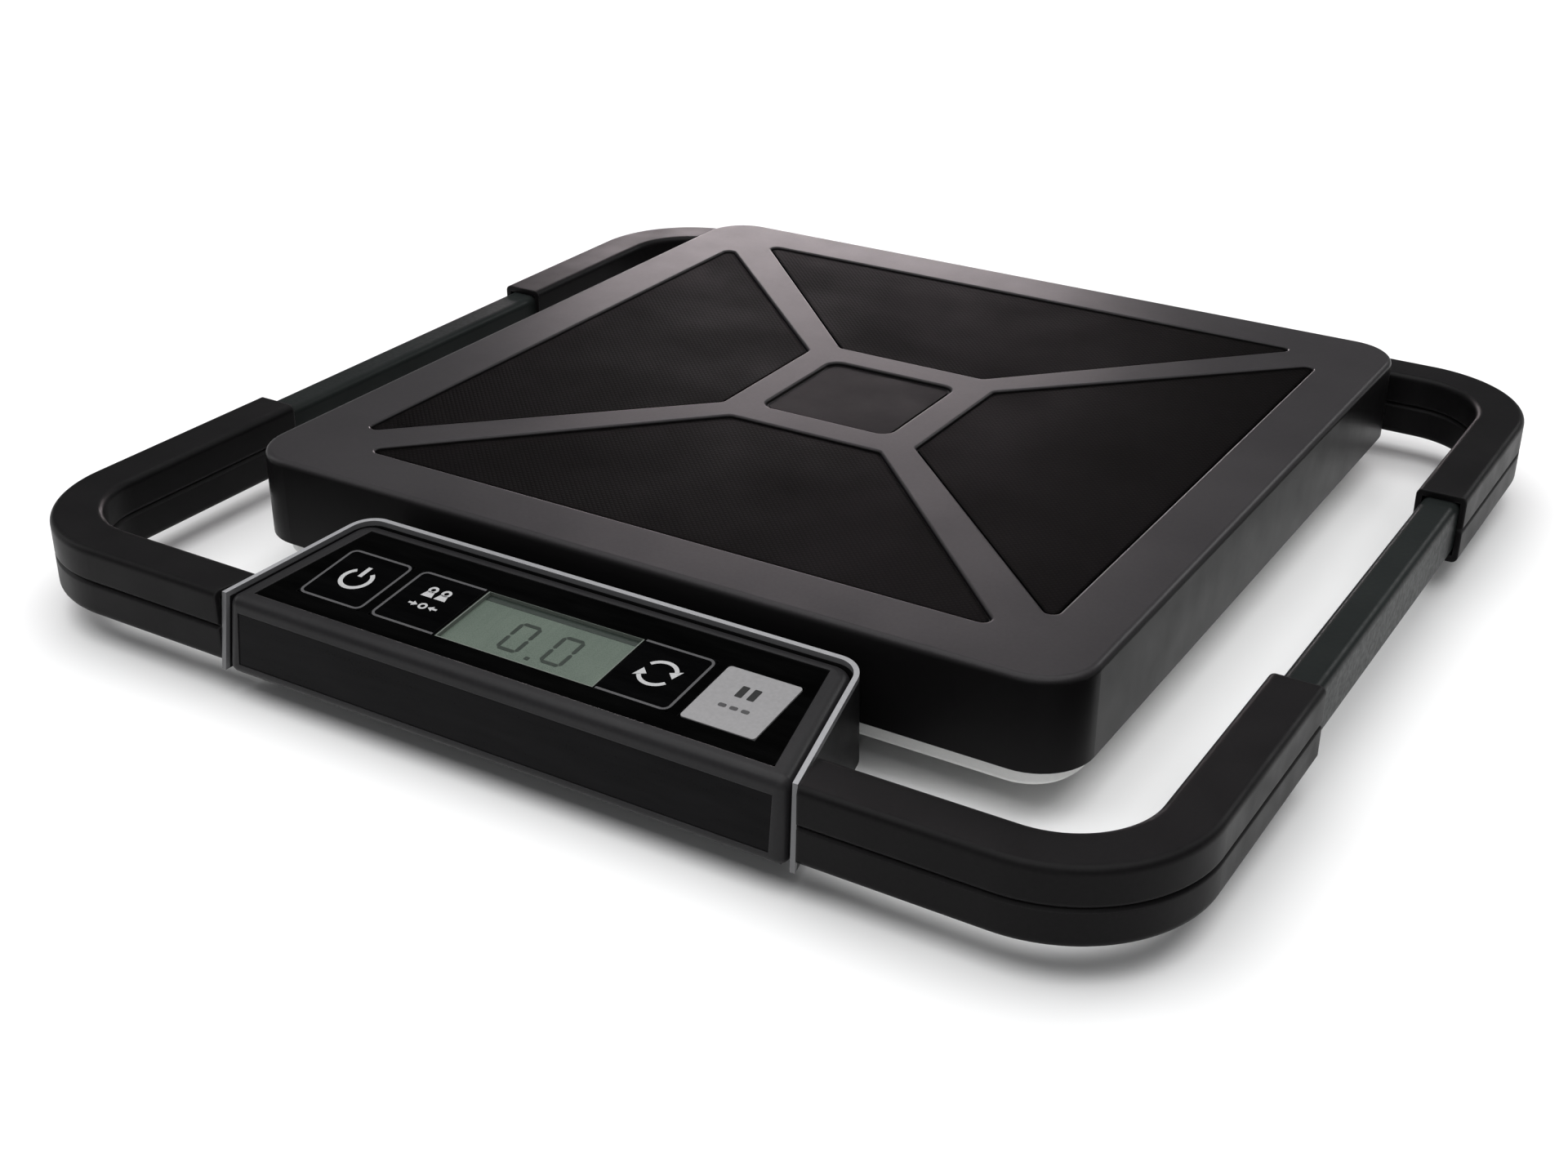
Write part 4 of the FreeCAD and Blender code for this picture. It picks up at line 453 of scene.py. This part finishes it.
def stroke(a, b, width):
    """The outline of a straight stroke from a to b."""
    along = Vector((b[0] - a[0], b[1] - a[1])).normalized()
    side = Vector((-along.y, along.x)) * width / 2
    return [(a[0] - side.x, a[1] - side.y), (b[0] - side.x, b[1] - side.y),
            (b[0] + side.x, b[1] + side.y), (a[0] + side.x, a[1] + side.y)]


def finish_mesh(name, bm):
    bmesh.ops.recalc_face_normals(bm, faces=bm.faces)
    mesh = bpy.data.meshes.new(name)
    bm.to_mesh(mesh)
    bm.free()
    return mesh


# ---- the display's segments ----

def segment_outline(centre, half, width, level):
    """A straight segment with pointed ends: level 'h' lies across and 'v' lies up the slope."""
    tip = width / 2
    if level == "h":
        return [(centre[0] - half, centre[1]), (centre[0] - half + tip, centre[1] - tip),
                (centre[0] + half - tip, centre[1] - tip), (centre[0] + half, centre[1]),
                (centre[0] + half - tip, centre[1] + tip), (centre[0] - half + tip, centre[1] + tip)]
    return [(centre[0], centre[1] - half), (centre[0] + tip, centre[1] - half + tip),
            (centre[0] + tip, centre[1] + half - tip), (centre[0], centre[1] + half),
            (centre[0] - tip, centre[1] + half - tip), (centre[0] - tip, centre[1] - half + tip)]


def make_segments():
    _, slope, out = span("lcd_module")
    face = out[1]
    middle = (slope[0] + slope[1]) / 2
    width, half_u, half_v, gap = 1.35 * MM, 3.3 * MM, 3.2 * MM, 0.12 * MM
    digit_middle = middle - 1.3 * MM
    zero = [("h", 0.0, 2 * half_v), ("h", 0.0, -2 * half_v), ("v", -half_u, half_v),
            ("v", half_u, half_v), ("v", -half_u, -half_v), ("v", half_u, -half_v)]
    bm = bmesh.new()
    for centre_u in (-6.3 * MM, 9.2 * MM):
        for kind, du, dv in zero:
            half = (half_u if kind == "h" else half_v) - gap
            outline = segment_outline((centre_u + du, digit_middle + dv), half, width, kind)
            prism(bm, outline, face - SUNK, face + SEGMENT_RISE, on_slope)
    dot = rounded_box(1.1 * MM, 2.7 * MM, middle - 9.4 * MM, middle - 7.9 * MM, [0.2 * MM] * 4, 2)
    prism(bm, dot, face - SUNK, face + SEGMENT_RISE, on_slope)
    add_piece("display_segments", finish_mesh("display_segments", bm), SEGMENT, "display_unit")


def make_display_surround():
    """The pale lip round the crystal cell, and a dark strip along the cell's rear edge: painted shadow of the
    window's rim over the recessed cell.
    """
    across, slope, out = span("lcd_module")
    window_top = span("display_window")[2][1]
    hidden, lip, rear_lip, corner = 0.5 * MM, 0.5 * MM, 0.15 * MM, 0.1 * MM
    depth_hidden = 2.6 * MM
    u0, u1 = across[0] + hidden, across[1] - hidden
    v0, v1 = slope[0] + depth_hidden, slope[1] - depth_hidden
    low, high = out[1] - SUNK, window_top - LIP_SINK
    bm = bmesh.new()
    outer = rounded_box(u0, u1, v0, v1, [corner] * 4, 2)
    inner = rounded_box(u0 + lip, u1 - lip, v0 + lip, v1 - rear_lip, [corner] * 4, 2)
    ring_prism(bm, outer, inner, low, high, on_slope)
    add_piece("display_lip", finish_mesh("display_lip", bm), LIP, "display_unit")
    # A dark printed strip along the cell's rear edge: painted shadow cast by the window's rim onto the recessed
    # cell.
    bm = bmesh.new()
    prism(bm, rounded_box(u0, u1, v1 - SHADOW_WIDTH, v1, [corner] * 4, 2), low, out[1] + SHADOW_RISE, on_slope)
    add_piece("display_painted_shadow", finish_mesh("display_painted_shadow", bm), PAINTED_CELL_SHADOW, "display_unit")


# ---- the keys' printed outlines and signs ----

def key_print(name, node, outlines, material):
    out = span(node)[2]
    bm = bmesh.new()
    for outline in outlines:
        prism(bm, outline, out[1] - INK_SUNK, out[1] + INK_RISE, on_slope)
    add_piece(name, finish_mesh(name, bm), material, node)


def key_frame(node, radius, open_side=0):
    """The thin printed line just inside a key's edge; it is left open on the side next to the display."""
    across, slope, out = span(node)
    inset, width, past = 0.3 * MM, 0.85 * MM, 0.3 * MM
    u0, u1, v0, v1 = across[0] + inset, across[1] - inset, slope[0] + inset, slope[1] - inset
    low, high = out[1] - INK_SUNK, out[1] + LINE_RISE
    bm = bmesh.new()
    if open_side:
        closed = u0 if open_side > 0 else u1
        free = u1 + past if open_side > 0 else u0 - past
        start, end = (90, 180) if open_side > 0 else (90, 0)
        bends = [(v1 - radius, start, end), (v0 + radius, end, 2 * end - start)]
        path = [(free, v1)]
        for centre_v, first, last in bends:
            for step in range(7):
                angle = math.radians(first + (last - first) * step / 6)
                bend_u = closed + open_side * radius + radius * math.cos(angle)
                path.append((bend_u, centre_v + radius * math.sin(angle)))
        path.append((free, v0))
        for a, b in zip(path, path[1:]):
            if math.dist(a, b) > 1e-6:
                prism(bm, stroke(a, b, width), low, high, on_slope)
    else:
        half = width / 2
        outer = rounded_box(u0 - half, u1 + half, v0 - half, v1 + half, [radius + half] * 4)
        inner = rounded_box(u0 + half, u1 - half, v0 + half, v1 - half, [radius - half] * 4)
        ring_prism(bm, outer, inner, low, high, on_slope)
    name = node + "_line"
    add_piece(name, finish_mesh(name, bm), INK_LINE, node)


def middle_of(node):
    across, slope, _ = span(node)
    return (sum(across) / 2, sum(slope) / 2)


def arrow(tip, back, width):
    """A triangle with its point at tip and the middle of its base at back."""
    along = (Vector(tip) - Vector(back)).normalized()
    side = Vector((-along.y, along.x)) * width / 2
    return [tip, tuple(Vector(back) + side), tuple(Vector(back) - side)]


def make_key_prints():
    u, v = middle_of("key_power")
    signs = [arc_band((u, v), 4.9 * MM, 1.45 * MM, 128, 410),
             stroke((u, v + 1.3 * MM), (u, v + 6.7 * MM), 1.5 * MM)]
    key_print("power_sign", "key_power", signs, INK_LIGHT)

    u, v = middle_of("key_tare")
    signs = []
    for side in (-1, 1):
        centre = (u + side * 2.5 * MM, v + 5.6 * MM)
        signs.append(arc_band(centre, 1.25 * MM, 0.9 * MM, 0, 358))
        signs.append([(centre[0] - 2.1 * MM, v + 1.9 * MM), (centre[0] + 2.1 * MM, v + 1.9 * MM),
                      (centre[0] + 1.3 * MM, v + 4.7 * MM), (centre[0] - 1.3 * MM, v + 4.7 * MM)])
    low = v - 2.6 * MM
    signs.append(arc_band((u, low), 1.15 * MM, 0.75 * MM, 0, 358))
    for side in (-1, 1):
        signs.append(stroke((u + side * 5.3 * MM, low), (u + side * 3.6 * MM, low), 0.8 * MM))
        signs.append(arrow((u + side * 2.0 * MM, low), (u + side * 3.8 * MM, low), 2.4 * MM))
    key_print("tare_sign", "key_tare", signs, INK_LIGHT)

    u, v = middle_of("key_units")
    radius = 5.4 * MM
    signs = []
    for turn in (0, 180):
        signs.append(arc_band((u, v + 0.6 * MM), radius, 1.3 * MM, turn + 26, turn + 146))
        points = []
        for degrees, reach in ((28, radius - 2.2 * MM), (28, radius + 1.9 * MM), (-8, radius - 0.2 * MM)):
            angle = math.radians(turn + degrees)
            points.append((u + reach * math.cos(angle), v + 0.6 * MM + reach * math.sin(angle)))
        signs.append(points)
    key_print("units_sign", "key_units", signs, INK_LIGHT)

    u, v = middle_of("key_hold")
    signs = []
    for centre in (u - 2.2 * MM, u + 1.7 * MM):
        left, right = centre - 1.15 * MM, centre + 1.15 * MM
        signs.append(rounded_box(left, right, v + 1.2 * MM, v + 6.4 * MM, [0.3 * MM] * 4, 2))
    key_print("pause_sign", "key_hold", signs, INK_DARK)
    dashes = []
    for centre in (u - 4.0 * MM, u - 0.3 * MM, u + 3.4 * MM):
        left, right = centre - 1.25 * MM, centre + 1.25 * MM
        dashes.append(rounded_box(left, right, v - 4.4 * MM, v - 2.9 * MM, [0.5 * MM] * 4, 2))
    key_print("pause_marks", "key_hold", dashes, INK_GREY)

    key_frame("key_power", KEY_LINE_RADIUS)
    key_frame("key_tare", KEY_LINE_RADIUS, open_side=1)
    key_frame("key_units", KEY_LINE_RADIUS, open_side=-1)


make_segments()
make_display_surround()
make_key_prints()


# ---------------------------------------------------------------------------------------------------------
# Floor, light and camera
# ---------------------------------------------------------------------------------------------------------

def make_floor():
    bm = bmesh.new()
    reach = 6.0
    corners = [bm.verts.new((x * reach, y * reach, 0.0)) for x, y in ((-1, -1), (1, -1), (1, 1), (-1, 1))]
    bm.faces.new(corners)
    mesh = bpy.data.meshes.new("floor")
    bm.to_mesh(mesh)
    bm.free()
    mesh.materials.append(floor_paper("floor_paper"))
    floor = bpy.data.objects.new("floor", mesh)
    bpy.context.scene.collection.objects.link(floor)


def softbox(name, where, target, size, power, color=(1.0, 1.0, 1.0)):
    light = bpy.data.lights.new(name, "AREA")
    light.shape = "RECTANGLE"
    light.size, light.size_y = size
    light.energy = power
    light.color = color
    item = bpy.data.objects.new(name, light)
    item.location = where
    item.rotation_mode = "QUATERNION"
    item.rotation_quaternion = (Vector(target) - Vector(where)).to_track_quat("-Z", "Y")
    bpy.context.scene.collection.objects.link(item)


def make_light():
    world = bpy.data.worlds.new("studio")
    bpy.context.scene.world = world
    world.use_nodes = True
    background = next(n for n in world.node_tree.nodes if n.type == "BACKGROUND")
    background.inputs["Color"].default_value = (0.95, 0.97, 1.0, 1.0)
    background.inputs["Strength"].default_value = 0.12
    softbox("overhead", (0.0, -0.1, 2.4), (0.0, 0.0, 0.0), (3.6, 3.6), 108.0)
    softbox("rear_left", (-1.16, 2.01, 0.47), (-0.15, 0.15, 0.04), (0.8, 0.28), 9.8, (1.0, 0.88, 0.91))
    softbox("rear", (0.75, 1.85, 1.15), (0.0, 0.0, 0.04), (0.9, 0.5), 7.0)
    softbox("left", (-1.9, -0.4, 0.8), (0.0, 0.0, 0.0), (0.8, 1.2), 6.0)
    softbox("front", (0.4, -2.2, 0.9), (0.0, 0.0, 0.0), (1.6, 0.7), 4.0)


def make_camera():
    camera = bpy.data.cameras.new("camera")
    camera.sensor_width = 36.0
    camera.lens = 47.28
    camera.clip_start, camera.clip_end = 0.01, 50.0
    item = bpy.data.objects.new("camera", camera)
    azimuth, elevation, roll = (math.radians(a) for a in (31.081, 27.44, 0.413))
    turn = Matrix.Rotation(azimuth, 4, "Z")
    tilt = Matrix.Rotation(math.pi / 2 - elevation, 4, "X")
    lean = Matrix.Rotation(roll, 4, "Z")
    item.matrix_world = Matrix.Translation((0.3280, -0.5733, 0.3227)) @ turn @ tilt @ lean
    bpy.context.scene.collection.objects.link(item)
    bpy.context.scene.camera = item


make_floor()
make_light()
make_camera()
bpy.context.scene.view_settings.view_transform = "Standard"
